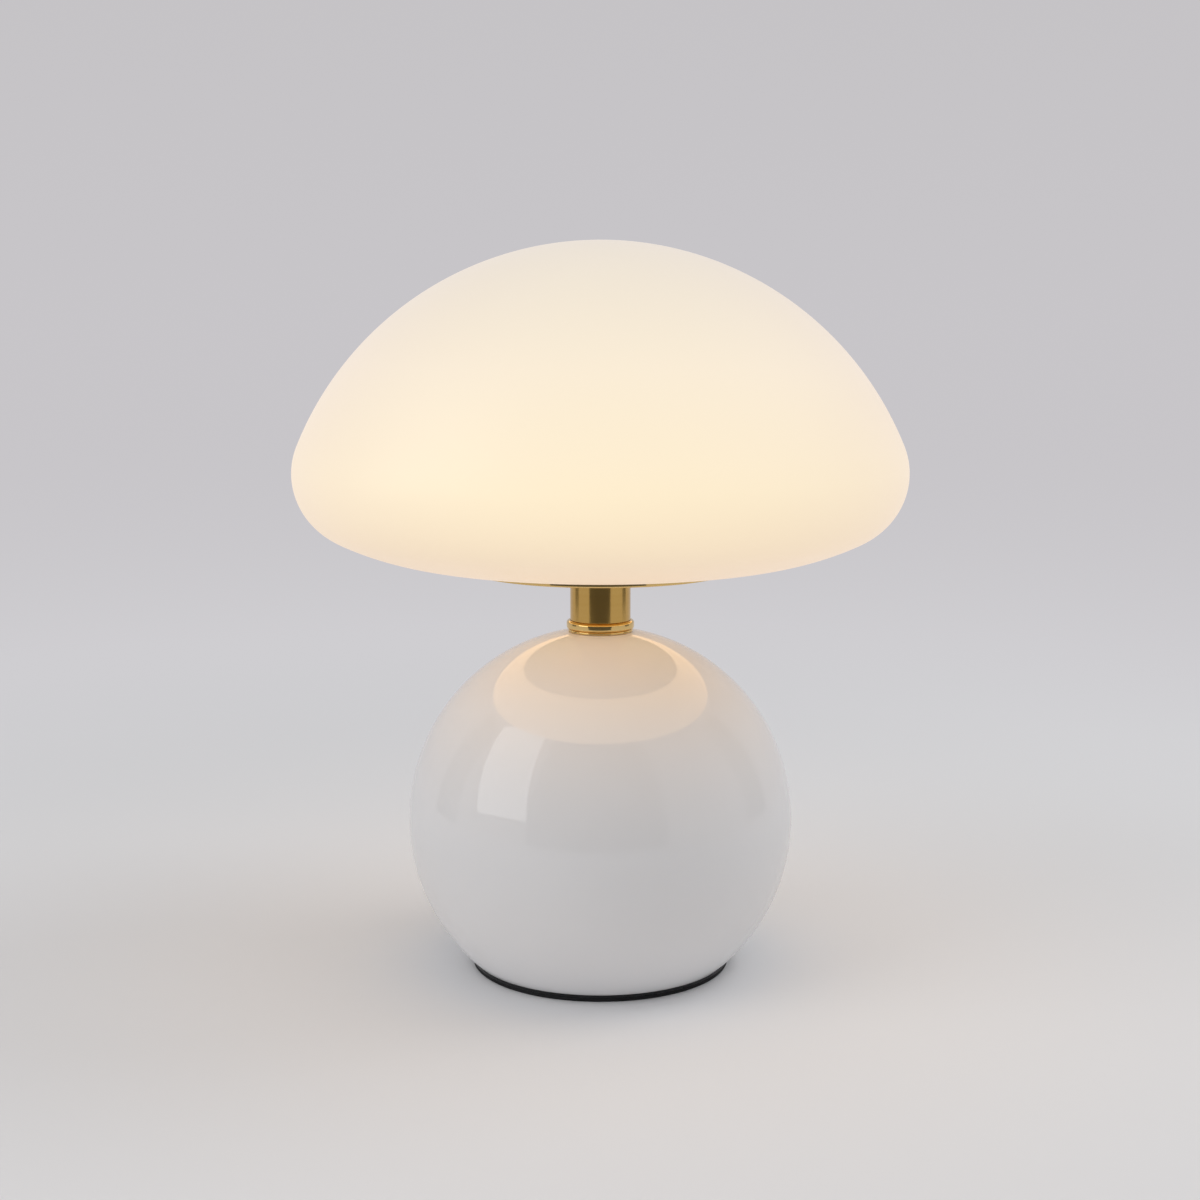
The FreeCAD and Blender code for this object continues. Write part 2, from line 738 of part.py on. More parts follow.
def led_chips():
    body = new_body("led_chips")
    sketch = new_sketch(body, "chip", "XY_Plane", light_board_top)
    half, middle = size("chip_size") / 2, size("chip_ring")
    draw_box(sketch, middle - half, -half, middle + half, half)
    chip = extrude(body, sketch, size("chip_height"))
    repeat_round(body, [chip], "Z_Axis", size("chip_count"))
    return body


def led_screws():
    body = new_body("led_screws")
    length = size("screw_length")
    shank = new_sketch(body, "shank", "XY_Plane", light_board_top - length)
    draw_circle(shank, size("light_screw_ring"), 0, size("screw_radius"))
    head = new_sketch(body, "head", "XY_Plane", light_board_top)
    draw_circle(head, size("light_screw_ring"), 0, size("screw_head_radius"))
    features = [extrude(body, shank, length), extrude(body, head, size("screw_head_height"))]
    repeat_round(body, features, "Z_Axis", size("light_screw_count"))
    return body


def diffuser_dome():
    # Frosted inner dome: a foot rim, a straight wall and a round top.
    outer, inner, foot = size("dome_radius"), size("dome_radius") - size("dome_wall"), size("dome_foot")
    return turned("diffuser_dome", [
        (inner, flange_top), (foot, flange_top), (foot, dome_foot_top), (outer, dome_foot_top),
        (outer, dome_spring_line), (0, dome_spring_line + outer), (0, dome_spring_line + inner),
        (inner, dome_spring_line)],
        bends={4: outer, 6: -inner})


def dome_ring():
    # Clamp ring stepped over the dome's foot.
    over, beside, rim = size("dome_radius") + fit_gap, size("dome_foot") + fit_gap, size("flange_radius")
    body = turned("dome_ring", [
        (beside, flange_top), (rim, flange_top), (rim, ring_top), (over, ring_top),
        (over, dome_foot_top), (beside, dome_foot_top)])
    holes = new_sketch(body, "screw_hole", "XY_Plane", ring_top)
    draw_circle(holes, size("ring_screw_circle"), 0, size("screw_radius") + fit_gap)
    cut = cut_checked(body, holes, ring_top - flange_top)
    repeat_round(body, [cut], "Z_Axis", size("ring_screw_count"))
    return body


def ring_screws():
    body = new_body("ring_screws")
    foot = boss_top - size("ring_screw_grip")
    shank = new_sketch(body, "shank", "XY_Plane", foot)
    draw_circle(shank, size("ring_screw_circle"), 0, size("screw_radius"))
    head = new_sketch(body, "head", "XY_Plane", ring_top)
    draw_circle(head, size("ring_screw_circle"), 0, size("screw_head_radius"))
    features = [extrude(body, shank, ring_top - foot), extrude(body, head, size("screw_head_height"))]
    repeat_round(body, features, "Z_Axis", size("ring_screw_count"))
    return body


# ---------------------------------------------------------------- battery, tray and driver board

post_places = [(size("post_across"), size("post_along")), (-size("post_across"), size("post_along")),
               (-size("post_across"), -size("post_along")), (size("post_across"), -size("post_along"))]
tray_screw_places = [(0, size("tray_screw_offset")), (0, -size("tray_screw_offset"))]


def battery_tray():
    # Moulded disc with two troughs for the cells and four posts for the driver board.
    rim, hole = size("tray_radius"), size("tray_hole")
    body = turned("battery_tray", [
        (hole, ballast_top), (rim, ballast_top), (rim, tray_top), (hole, tray_top)])
    posts = new_sketch(body, "posts", "XY_Plane", ballast_top)
    for across, along in post_places:
        draw_circle(posts, across, along, size("post_radius"))
    extrude(body, posts, board_under - ballast_top)
    troughs = new_sketch(body, "troughs", "YZ_Plane")
    for along in (size("cell_offset"), -size("cell_offset")):
        draw_circle(troughs, along, cell_axis, size("cell_radius") + fit_gap)
    trough_length = size("cell_length") + (size("strip_thickness") + fit_gap) * 2
    cut_checked(body, troughs, trough_length, both=True)
    sinks = new_sketch(body, "screw_sinks", "XY_Plane", tray_top)
    for across, along in tray_screw_places:
        draw_circle(sinks, across, along, size("screw_head_radius") + fit_gap)
    cut_checked(body, sinks, size("tray_thickness") - size("tray_floor"))
    screw_holes = new_sketch(body, "screw_holes", "XY_Plane", tray_top)
    for across, along in tray_screw_places:
        draw_circle(screw_holes, across, along, size("screw_radius") + fit_gap)
    cut_checked(body, screw_holes, size("tray_thickness"))
    post_holes = new_sketch(body, "post_holes", "XY_Plane", board_under)
    for across, along in post_places:
        draw_circle(post_holes, across, along, size("screw_radius") + fit_gap)
    cut_checked(body, post_holes, size("screw_length"))
    return body


def battery_cells():
    body = new_body("battery_cells")
    sketch = new_sketch(body, "rounds", "YZ_Plane")
    for along in (size("cell_offset"), -size("cell_offset")):
        draw_circle(sketch, along, cell_axis, size("cell_radius"))
    extrude(body, sketch, size("cell_length"), both=True)
    return body


def battery_strips():
    # Nickel strips across both ends of the cells, with tabs that rise to the driver board.
    body = new_body("battery_strips")
    reach, half = size("cell_offset"), size("strip_width") / 2
    thickness = size("strip_thickness")
    for side, name in ((1, "front"), (-1, "rear")):
        start = size("cell_length") / 2 * side if side > 0 else -(size("cell_length") / 2) - thickness
        sketch = new_sketch(body, name, "YZ_Plane", start)
        draw_outline(sketch, [
            (-reach, cell_axis - half), (reach, cell_axis - half), (reach, cell_axis + half),
            (half, cell_axis + half), (half, board_under), (-half, board_under),
            (-half, cell_axis + half), (-reach, cell_axis + half)])
        extrude(body, sketch, thickness)
    return body


def driver_board():
    body = new_body("driver_board")
    sketch = new_sketch(body, "outline", "XY_Plane", board_under)
    length, width = size("board_length") / 2, size("board_width") / 2
    draw_box(sketch, -length, -width, length, width)
    draw_circle(sketch, 0, 0, size("board_rod_hole"))
    for across, along in post_places:
        draw_circle(sketch, across, along, size("screw_radius") + fit_gap)
    extrude(body, sketch, size("board_thickness"))
    return body


# where the parts stand on the driver board: (across, along, length, width, height)
BLOCK_PARTS = {
    "light_plug": (17.0, 0.0, 6.0, 6.0, 5.0),
    "switch_plug": (8.0, 13.0, 6.0, 5.0, 5.0),
    "charge_plug": (-12.0, 13.0, 6.0, 5.0, 5.0),
    "controller": (18.0, -10.0, 7.0, 7.0, 1.0),
    "charger": (-14.0, -9.0, 5.0, 5.0, 0.9),
    "transistor": (0.0, -11.0, 6.5, 6.0, 2.3),
}
ROUND_PARTS = {
    "inductor": (-24.0, -2.0, 5.0, 5.5),
    "capacitor": (28.0, 4.0, 3.2, 8.0),
}


def driver_components():
    # Plugs, chips, an inductor and a capacitor, standing on the board.
    shapes = []
    for across, along, length, width, height in BLOCK_PARTS.values():
        corner = Vector(across - length / 2, along - width / 2, board_top.value)
        shapes.append(Part.makeBox(length, width, height, corner))
    for across, along, radius, height in ROUND_PARTS.values():
        shapes.append(Part.makeCylinder(radius, height, Vector(across, along, board_top.value)))
    return shape_feature("driver_components", Part.makeCompound(shapes))


def shape_feature(label, shape):
    feature = document.addObject("Part::Feature", label)
    feature.Label = label
    feature.Shape = shape
    return feature


# ---------------------------------------------------------------- push button

# Distances along the button's axis are measured from the ball's middle.
button_barrel = size("cap_foot") + fit_gap + size("button_wall")
button_seat = leg(size("ball_radius"), button_barrel + fit_gap)
button_front = button_seat + size("button_flange_height")
button_lip_back = button_front - size("button_lip")
button_back = button_seat - size("button_depth")
cap_foot_front = button_lip_back - size("slide_gap")
cap_foot_back = cap_foot_front - size("cap_foot_height")
cap_front = button_front + size("cap_proud")
switch_back = button_back + size("button_wall")
switch_front = switch_back + size("switch_height")


def button_ring():
    # Flanged barrel that holds the cap behind its lip and the switch in its back.
    front_bore, back_bore = size("cap_radius") + fit_gap, size("cap_foot") + fit_gap
    hole = back_bore - size("button_wall") * 2
    flange = size("button_flange")
    body = turned("button_ring", [
        (hole, button_back), (button_barrel, button_back), (button_barrel, button_seat),
        (flange, button_seat), (flange, button_front), (front_bore, button_front),
        (front_bore, button_lip_back), (back_bore, button_lip_back), (back_bore, switch_back),
        (hole, switch_back)], plane=LYING)
    round_rims(body, [(flange, button_front)], size("cap_rounding"))
    lean(body, ball_middle)
    return body


def button_nut():
    rim, bore = size("button_nut_radius"), button_barrel + fit_gap
    front = leg(size("ball_radius") - size("ball_wall"), rim)
    back = front - size("button_nut_height")
    body = turned("button_nut", [(bore, back), (rim, back), (rim, front), (bore, front)], plane=LYING)
    lean(body, ball_middle)
    return body


def button_cap():
    # Cap with a foot behind the ring's lip, a well for the spring and a pin for the switch.
    rim, foot, pin = size("cap_radius"), size("cap_foot"), size("switch_pin")
    well = size("spring_radius") + size("spring_wire") + fit_gap
    well_floor = cap_foot_back + size("spring_well")
    pin_end = switch_front + size("button_travel") + fit_gap * 2
    body = turned("button_cap", [
        (0, pin_end), (pin, pin_end), (pin, well_floor), (well, well_floor), (well, cap_foot_back),
        (foot, cap_foot_back), (foot, cap_foot_front), (rim, cap_foot_front), (rim, cap_front),
        (0, cap_front)], plane=LYING)
    round_rims(body, [(rim, cap_front)], size("cap_rounding"))
    lean(body, ball_middle)
    return body


def switch_module():
    rim = size("cap_foot")
    body = turned("switch_module", [
        (0, switch_back), (rim, switch_back), (rim, switch_front), (0, switch_front)], plane=LYING)
    lean(body, ball_middle)
    return body


def button_spring():
    # Open coil between the switch and the cap's well.
    wire, coil = size("spring_wire").value, size("spring_radius").value
    start = switch_front.value + wire / 2 + fit_gap.value / 4
    finish = (cap_foot_back + size("spring_well") - size("slide_gap")).value - wire / 2
    turns = int(size("spring_turns").value)
    rise = (finish - start) / (2 * math.pi * turns)

    def place(angle):
        return Vector(coil * math.cos(angle), start + rise * angle, coil * math.sin(angle))

    def heading(angle):
        return Vector(-coil * math.sin(angle), rise, coil * math.cos(angle)).normalize()

    edges = []
    quarters = [math.pi / 2 * step for step in range(4 * turns + 1)]
    for angle, later in zip(quarters, quarters[1:]):
        edges += biarc(place(angle), heading(angle), place(later), heading(later))
    section = Part.Wire(Part.makeCircle(wire / 2, place(0), heading(0)))
    spring = Part.Wire(edges).makePipeShell([section], True, False)
    feature = shape_feature("button_spring", spring)
    feature.Placement = Placement(Vector(0, 0, ball_middle.value), Rotation())
    return feature


def corner_arc(start, corner, finish):
    # Arc that leaves start and reaches finish along the lines to the corner, as far from both.
    half_turn = (math.pi - (start - corner).getAngle(finish - corner)) / 2
    radius = (start - corner).Length / math.tan(half_turn)
    bisector = ((start + finish) * 0.5 - corner).normalize()
    middle = corner + bisector * (radius / math.cos(half_turn) - radius)
    return Part.Arc(start, middle, finish).toShape()


def biarc(start, leaving, finish, arriving):
    # Two arcs that meet smoothly, from start to finish, along the two given headings.
    chord = finish - start
    spread = 2 * (1 - leaving.dot(arriving))
    slant = chord.dot(leaving + arriving)
    reach = (math.sqrt(slant ** 2 + spread * chord.dot(chord)) - slant) / spread
    first_corner, second_corner = start + leaving * reach, finish - arriving * reach
    joint = (first_corner + second_corner) * 0.5
    return [corner_arc(start, first_corner, joint), corner_arc(joint, second_corner, finish)]


# ---------------------------------------------------------------- charging port

# The port's pieces are drawn about the ball's middle and lean down to the low back of the ball.
port_seat = leg(size("ball_radius"), size("port_plug_height") / 2)
port_front = port_seat + size("port_flange_proud")
port_plug_back = port_seat - size("port_plug_depth")
socket_front = port_front - size("socket_recess")
socket_back = socket_front - size("socket_depth")
port_board_front = port_plug_back - fit_gap
port_board_back = port_board_front - size("port_board_depth")


def slot_pad(body, name, start, length, slot_length, slot_height):
    # Pad that runs from start towards the back of the lamp.
    sketch = new_sketch(body, name, "XZ_Plane", -start)
    draw_slot(sketch, slot_length, slot_height)
    return extrude(body, sketch, length, back=True)


def port_bezel():
    # Oval plug with a flange, and two rails that carry the port's board.
    body = new_body("port_bezel")
    slot_pad(body, "plug", port_plug_back, size("port_plug_depth"),
             size("port_plug_length"), size("port_plug_height"))
    slot_pad(body, "flange", port_seat, size("port_flange_proud"),
             size("port_flange_length"), size("port_flange_height"))
    rails = new_sketch(body, "rails", "XZ_Plane", -port_board_back)
    rail_in, rail_out = size("socket_length") / 2 + fit_gap, size("port_board_width") / 2
    rail_low = -(size("socket_height") / 2)
    rail_high = size("socket_height") / 2
    draw_box(rails, rail_in, rail_low, rail_out, rail_high)
    draw_box(rails, -rail_out, rail_low, -rail_in, rail_high)
    extrude(body, rails, port_plug_back - port_board_back, back=True)
    opening = new_sketch(body, "opening", "XZ_Plane", -(port_front + fit_gap))
    draw_slot(opening, size("socket_length") + fit_gap, size("socket_height") + fit_gap)
    cut_checked(body, opening, port_front - port_plug_back + fit_gap * 2, back=True)
    lean(body, ball_middle, size("port_drop"))
    return body


def usb_socket():
    # Folded steel shell of the charging socket.
    body = new_body("usb_socket")
    slot_pad(body, "shell", socket_back, size("socket_depth"), size("socket_length"), size("socket_height"))
    hollow = new_sketch(body, "hollow", "XZ_Plane", -(socket_front + fit_gap))
    sheet_pair = size("socket_sheet") * 2
    draw_slot(hollow, size("socket_length") - sheet_pair, size("socket_height") - sheet_pair)
    cut_checked(body, hollow, size("socket_depth") + fit_gap * 2, back=True)
    lean(body, ball_middle, size("port_drop"))
    return body


def usb_tongue():
    # Contact tongue on the moulded block that closes the socket's back.
    body = new_body("usb_tongue")
    gap = (size("socket_sheet") + fit_gap / 2) * 2
    block_depth = size("socket_depth") / 4
    slot_pad(body, "block", socket_back, block_depth, size("socket_length") - gap,
             size("socket_height") - gap)
    tongue = new_sketch(body, "tongue", "XZ_Plane", -(socket_back + block_depth))
    half, thick = size("tongue_width") / 2, size("tongue_thickness") / 2
    draw_box(tongue, -half, -thick, half, thick)
    extrude(body, tongue, size("socket_depth") - block_depth - size("socket_recess") * 2, back=True)
    lean(body, ball_middle, size("port_drop"))
    return body


def usb_board():
    body = new_body("usb_board")
    sketch = new_sketch(body, "outline", "XZ_Plane", -port_board_back)
    top = -(size("socket_height") / 2)
    half = size("port_board_width") / 2
    draw_box(sketch, -half, top - size("port_board_thickness"), half, top)
    extrude(body, sketch, size("port_board_depth"), back=True)
    lean(body, ball_middle, size("port_drop"))
    return body


# ---------------------------------------------------------------- inner wiring

def lead(points, offset):
    # One wire along straight runs joined by arcs, shifted sideways by offset.
    trim_share, volume_tolerance = 0.45, 0.02
    points = [Vector(*point) + offset for point in points]
    edges = []
    start = points[0]
    for before, corner, after in zip(points, points[1:], points[2:]):
        back, ahead = before - corner, after - corner
        trim = trim_share * min(back.Length, ahead.Length)
        arc_start, arc_finish = corner + back.normalize() * trim, corner + ahead.normalize() * trim
        edges.append(Part.LineSegment(start, arc_start).toShape())
        edges.append(corner_arc(arc_start, corner, arc_finish))
        start = arc_finish
    edges.append(Part.LineSegment(start, points[-1]).toShape())
    path = Part.Wire(edges)
    wire_radius = size("wire_radius").value
    section = Part.Wire(Part.makeCircle(wire_radius, points[0], points[1] - points[0]))
    tube = path.makePipeShell([section], True, False)
    expected = math.pi * wire_radius ** 2 * path.Length
    if abs(tube.Volume - expected) > volume_tolerance * expected:
        raise RuntimeError("a lead's volume differs from its section times its length")
    return tube


def lead_pair(label, points, sideways):
    half = Vector(*sideways) * (size("wire_pitch").value / 2)
    return shape_feature(label, Part.makeCompound([lead(points, half), lead(points, -half)]))


def plug_top(name):
    across, along, _, _, height = BLOCK_PARTS[name]
    return across, along, board_top.value + height


def led_leads():
    # From the driver board through the rod's slot and up its bore to the light board.
    across, along, start = plug_top("light_plug")
    entry = (board_top + size("lead_slot_rise") + size("wire_step")).value
    over_board = (light_board_top + size("wire_step")).value
    landing = size("light_screw_ring").value / 2
    return lead_pair("led_leads", [
        (across, along, start), (across, along, entry), (0, 0, entry), (0, 0, over_board),
        (landing, 0, over_board), (landing, 0, light_board_top.value)], (0, 1, 0))


def switch_leads():
    # From the back of the switch, down in a bow to the driver board.
    across, along, start = plug_top("switch_plug")
    step, bow = size("wire_step").value, size("wire_bow").value
    height, back = ball_middle.value, switch_back.value
    return lead_pair("switch_leads", [
        (0, back, height), (0, back - bow, height), (step, back - 2 * bow, height + step),
        (across, along + bow - step, start + bow), (across, along, start + bow - step),
        (across, along, start)], (1, 0, 0))


def usb_leads():
    # Soldered on the port board's upper face, then over to the driver board.
    across, along, start = plug_top("charge_plug")
    step, bow = size("wire_step").value, size("wire_bow").value
    drop = math.radians(size("port_drop").value)
    axis = Vector(0, math.cos(drop), -math.sin(drop))
    above = Vector(0, math.sin(drop), math.cos(drop))
    pad = Vector(0, 0, ball_middle.value) + axis * (port_board_back.value + step)
    pad = pad - above * (size("socket_height").value / 2)
    rise, turn = pad + above * (2 * step), pad + above * bow - axis * (bow - 2 * step)
    return lead_pair("usb_leads", [
        tuple(pad), tuple(rise), tuple(turn), (across, along + 2 * step, start + bow - step),
        (across, along, start + bow - 2 * step), (across, along, start)], (1, 0, 0))


# ---------------------------------------------------------------- build, check and write

base_pad()
bottom_cover()
ballast_disc()
ball_shell()
neck_collar()
neck_tube()
threaded_rod()
washer("rod_washer_bottom", bottom_washer_foot)
hex_nut("rod_nut_bottom", bottom_nut_foot)
hex_nut("ballast_nut", ballast_top)
shade_plate()
washer("rod_washer_top", boss_top)
hex_nut("rod_nut_top", top_nut_foot)
shade_gasket()
glass_shade()
led_carrier()
led_board()
led_chips()
led_screws()
diffuser_dome()
dome_ring()
ring_screws()
battery_tray()
battery_cells()
battery_strips()
screws("tray_screws", ballast_top + size("tray_floor"), tray_screw_places)
driver_board()
driver_components()
screws("board_screws", board_top, post_places)
button_ring()
button_nut()
button_cap()
switch_module()
button_spring()
port_bezel()
usb_socket()
usb_tongue()
usb_board()
led_leads()
switch_leads()
usb_leads()
document.recompute()

NODES = [item for item in document.Objects
         if item.TypeId in ("PartDesign::Body", "Part::Cut", "Part::Feature")]

for item in document.Objects:
    if "Invalid" in item.State or "Error" in item.State:
        raise RuntimeError(f"{item.Label} did not compute: {item.State}")
for node in NODES:
    if node.Shape.isNull() or not node.Shape.isValid():
        raise RuntimeError(f"{node.Label} has no valid shape")

os.makedirs("parts", exist_ok=True)
for node in NODES:
    node.Shape.exportStep(f"parts/{node.Label}.step")
    box = node.Shape.BoundBox
    print(f"{node.Label}: {len(node.Shape.Solids)} solid(s), {node.Shape.Volume:.1f} mm3, "
          f"z {box.ZMin:.2f} to {box.ZMax:.2f}")
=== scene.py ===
import math

import bmesh
import bpy
from mathutils import Matrix, Vector


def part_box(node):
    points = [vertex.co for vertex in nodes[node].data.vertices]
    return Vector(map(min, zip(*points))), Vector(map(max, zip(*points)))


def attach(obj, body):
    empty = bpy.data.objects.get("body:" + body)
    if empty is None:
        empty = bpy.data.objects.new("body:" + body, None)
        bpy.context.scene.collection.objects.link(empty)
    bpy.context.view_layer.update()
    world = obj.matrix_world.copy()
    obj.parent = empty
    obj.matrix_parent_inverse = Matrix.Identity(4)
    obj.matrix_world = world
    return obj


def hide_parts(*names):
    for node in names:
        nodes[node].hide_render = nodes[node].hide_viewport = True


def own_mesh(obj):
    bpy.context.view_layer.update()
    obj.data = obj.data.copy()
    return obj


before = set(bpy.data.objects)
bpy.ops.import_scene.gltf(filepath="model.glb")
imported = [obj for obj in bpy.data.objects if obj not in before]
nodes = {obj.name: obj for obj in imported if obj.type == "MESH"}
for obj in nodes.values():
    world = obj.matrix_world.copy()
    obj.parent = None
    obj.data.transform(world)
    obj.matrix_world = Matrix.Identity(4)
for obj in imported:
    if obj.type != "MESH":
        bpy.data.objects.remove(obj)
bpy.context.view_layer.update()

mm = 0.001
weld = 0.0001 * mm     # drawn points nearer than this are one point
near = 0.001 * mm      # the same for worked-out places, such as the seam of a spun outline
rodHole = 5.2 * mm     # bore for the lamp rod, the same in every piece that it passes


# small helpers for modelling by hand

def deselectAll():
    bpy.ops.object.select_all(action="DESELECT")


def activate(piece):
    deselectAll()
    piece.select_set(True)
    bpy.context.view_layer.objects.active = piece


def editMode():
    bpy.ops.object.mode_set(mode="EDIT")
    bpy.ops.mesh.select_all(action="SELECT")


def objectMode():
    bpy.ops.object.mode_set(mode="OBJECT")


def applyAll(piece):
    activate(piece)
    for modifier in list(piece.modifiers):
        bpy.ops.object.modifier_apply(modifier=modifier.name)


def applyPlace(piece):
    activate(piece)
    bpy.ops.object.transform_apply(location=True, rotation=True, scale=True)


def smooth(piece):
    # edges that turn by more than this stay sharp
    activate(piece)
    bpy.ops.object.shade_smooth_by_angle(angle=math.radians(32))


def selectWhere(piece, kind, wanted):
    # in edit mode: selects the edges or the faces that pass the test, and nothing else
    bpy.ops.mesh.select_all(action="DESELECT")
    bpy.ops.mesh.select_mode(type=kind)
    mesh = bmesh.from_edit_mesh(piece.data)
    for part in mesh.edges if kind == "EDGE" else mesh.faces:
        part.select_set(wanted(part))
    mesh.select_flush_mode()
    bmesh.update_edit_mesh(piece.data)


def liesAt(edge, height):
    return all(abs(vertex.co.z - height) < near for vertex in edge.verts)


def arcPoints(middle, radius, fromDegrees, toDegrees, steps):
    # points of an arc in the outline's plane, both ends included
    points = []
    for step in range(steps + 1):
        angle = math.radians(fromDegrees + (toDegrees - fromDegrees) * step / steps)
        points.append((middle[0] + radius * math.cos(angle), middle[1] + radius * math.sin(angle)))
    return points


def roundedOutline(corners, steps=6):
    # corners are (distance from the axis, place along it, rounding)
    outline = []
    for index, (across, up, rounding) in enumerate(corners):
        corner = Vector((across, up))
        if not rounding:
            outline.append(tuple(corner))
            continue
        before = Vector(corners[index - 1][:2]) - corner
        after = Vector(corners[(index + 1) % len(corners)][:2]) - corner
        halfTurn = before.angle(after) / 2
        reach = rounding / math.tan(halfTurn)
        middle = corner + (before.normalized() + after.normalized()).normalized() * (rounding / math.sin(halfTurn))
        start, finish = corner + before.normalized() * reach, corner + after.normalized() * reach
        support = 0.4 * rounding  # how far off a supporting point stands on both sides
        outline.append(tuple(start + before.normalized() * support))
        first, last = start - middle, finish - middle
        for step in range(steps + 1):
            outline.append(tuple(middle + first.slerp(last, step / steps) * rounding))
        outline.append(tuple(finish + after.normalized() * support))
    return outline


def turnOutline(name, outline, sides, closed=True, centre=(0, 0, 0), axis=(0, 0, 1)):
    # the outline is (distance from the axis, place along it): one point is extruded along it, then all is spun
    places = [Vector(centre) + Vector((across, 0, 0)) + Vector(axis) * up for across, up in outline]
    deselectAll()
    bpy.ops.mesh.primitive_plane_add(size=mm, enter_editmode=True)
    piece = bpy.context.object
    piece.name = piece.data.name = name
    bpy.ops.mesh.select_mode(type="VERT")
    bpy.ops.mesh.merge(type="CENTER")
    bpy.ops.transform.translate(value=places[0])
    ends = places[1:] + (places[:1] if closed else [])
    for before, after in zip(places, ends):
        bpy.ops.mesh.extrude_vertices_move(TRANSFORM_OT_translate={"value": after - before})
    bpy.ops.mesh.select_all(action="SELECT")
    bpy.ops.mesh.remove_doubles(threshold=weld)
    bpy.ops.mesh.select_all(action="SELECT")
    bpy.ops.mesh.spin(steps=sides, angle=2 * math.pi, center=centre, axis=axis)
    bpy.ops.mesh.select_all(action="SELECT")
    bpy.ops.mesh.remove_doubles(threshold=near)
    bpy.ops.mesh.normals_make_consistent(inside=False)
    objectMode()
    smooth(piece)
    return piece


def boolean(piece, cutter):
    activate(piece)
    modifier = piece.modifiers.new("cut", "BOOLEAN")
    modifier.operation = "DIFFERENCE"
    modifier.solver = "EXACT"
    modifier.object = cutter
    bpy.ops.object.modifier_apply(modifier=modifier.name)
    bpy.data.objects.remove(cutter)


def place(piece, body, slot, material, *replaced):
    # the piece rides on its body, stands for its CAD nodes and gets its finish
    piece.data.materials.clear()
    piece.data.materials.append(material)
    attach(piece, body)
    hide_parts(*replaced)
    return piece


# shared shader groups

def newGroup(name, inputs, outputs):
    group = bpy.data.node_groups.new(name, "ShaderNodeTree")
    for label, kind, value in inputs:
        socket = group.interface.new_socket(name=label, in_out="INPUT", socket_type=kind)
        if value is not None:
            socket.default_value = value
    for label, kind in outputs:
        group.interface.new_socket(name=label, in_out="OUTPUT", socket_type=kind)
    start, finish = group.nodes.new("NodeGroupInput"), group.nodes.new("NodeGroupOutput")
    return group, start, finish


def mathNode(tree, operation, first, second=None):
    node = tree.nodes.new("ShaderNodeMath")
    node.operation = operation
    for socket, value in zip(node.inputs, (first, second)):
        if isinstance(value, bpy.types.NodeSocket):
            tree.links.new(value, socket)
        elif value is not None:
            socket.default_value = value
    return node.outputs[0]


def makeSurfaceVariation():
    # slow cloudiness and fine grain: a roughness, a tint mask and a height
    group, start, finish = newGroup(
        "surfaceVariation",
        [("Vector", "NodeSocketVector", None), ("Cloud Scale", "NodeSocketFloat", 20.0),
         ("Grain Scale", "NodeSocketFloat", 900.0), ("Low Roughness", "NodeSocketFloat", 0.2),
         ("High Roughness", "NodeSocketFloat", 0.4)],
        [("Roughness", "NodeSocketFloat"), ("Mask", "NodeSocketFloat"), ("Height", "NodeSocketFloat")])
    cloud, grain = group.nodes.new("ShaderNodeTexNoise"), group.nodes.new("ShaderNodeTexNoise")
    cloud.inputs["Detail"].default_value = 4.0
    grain.inputs["Detail"].default_value = 2.0
    for texture, label in ((cloud, "Cloud Scale"), (grain, "Grain Scale")):
        group.links.new(start.outputs["Vector"], texture.inputs["Vector"])
        group.links.new(start.outputs[label], texture.inputs["Scale"])
    spread = group.nodes.new("ShaderNodeMapRange")
    spread.inputs["From Min"].default_value = 0.3
    spread.inputs["From Max"].default_value = 0.7
    group.links.new(cloud.outputs["Fac"], spread.inputs["Value"])
    group.links.new(start.outputs["Low Roughness"], spread.inputs["To Min"])
    group.links.new(start.outputs["High Roughness"], spread.inputs["To Max"])
    group.links.new(spread.outputs["Result"], finish.inputs["Roughness"])
    group.links.new(cloud.outputs["Fac"], finish.inputs["Mask"])
    group.links.new(grain.outputs["Fac"], finish.inputs["Height"])
    return group


def makeTurningMarks():
    # fine rings left by a lathe: along the axis on a wall, outwards on a face
    group, start, finish = newGroup(
        "turningMarks",
        [("Vector", "NodeSocketVector", None), ("Pitch", "NodeSocketFloat", 3000.0),
         ("Unevenness", "NodeSocketFloat", 0.6)],
        [("Height", "NodeSocketFloat"), ("Streak", "NodeSocketFloat")])
    split = group.nodes.new("ShaderNodeSeparateXYZ")
    group.links.new(start.outputs["Vector"], split.inputs["Vector"])
    across = mathNode(group, "POWER", split.outputs["X"], 2.0)
    along = mathNode(group, "POWER", split.outputs["Y"], 2.0)
    radius = mathNode(group, "SQRT", mathNode(group, "ADD", across, along))
    path = mathNode(group, "ADD", radius, split.outputs["Z"])
    rings = group.nodes.new("ShaderNodeTexNoise")
    rings.noise_dimensions = "1D"
    rings.inputs["Detail"].default_value = 3.0
    group.links.new(mathNode(group, "MULTIPLY", path, start.outputs["Pitch"]), rings.inputs["W"])
    rings.inputs["Scale"].default_value = 1.0
    group.links.new(start.outputs["Unevenness"], rings.inputs["Roughness"])
    bands = group.nodes.new("ShaderNodeTexNoise")
    bands.noise_dimensions = "1D"
    bands.inputs["Scale"].default_value = 400.0
    group.links.new(path, bands.inputs["W"])
    group.links.new(rings.outputs["Fac"], finish.inputs["Height"])
    group.links.new(bands.outputs["Fac"], finish.inputs["Streak"])
    return group


surfaceVariation = makeSurfaceVariation()
turningMarks = makeTurningMarks()


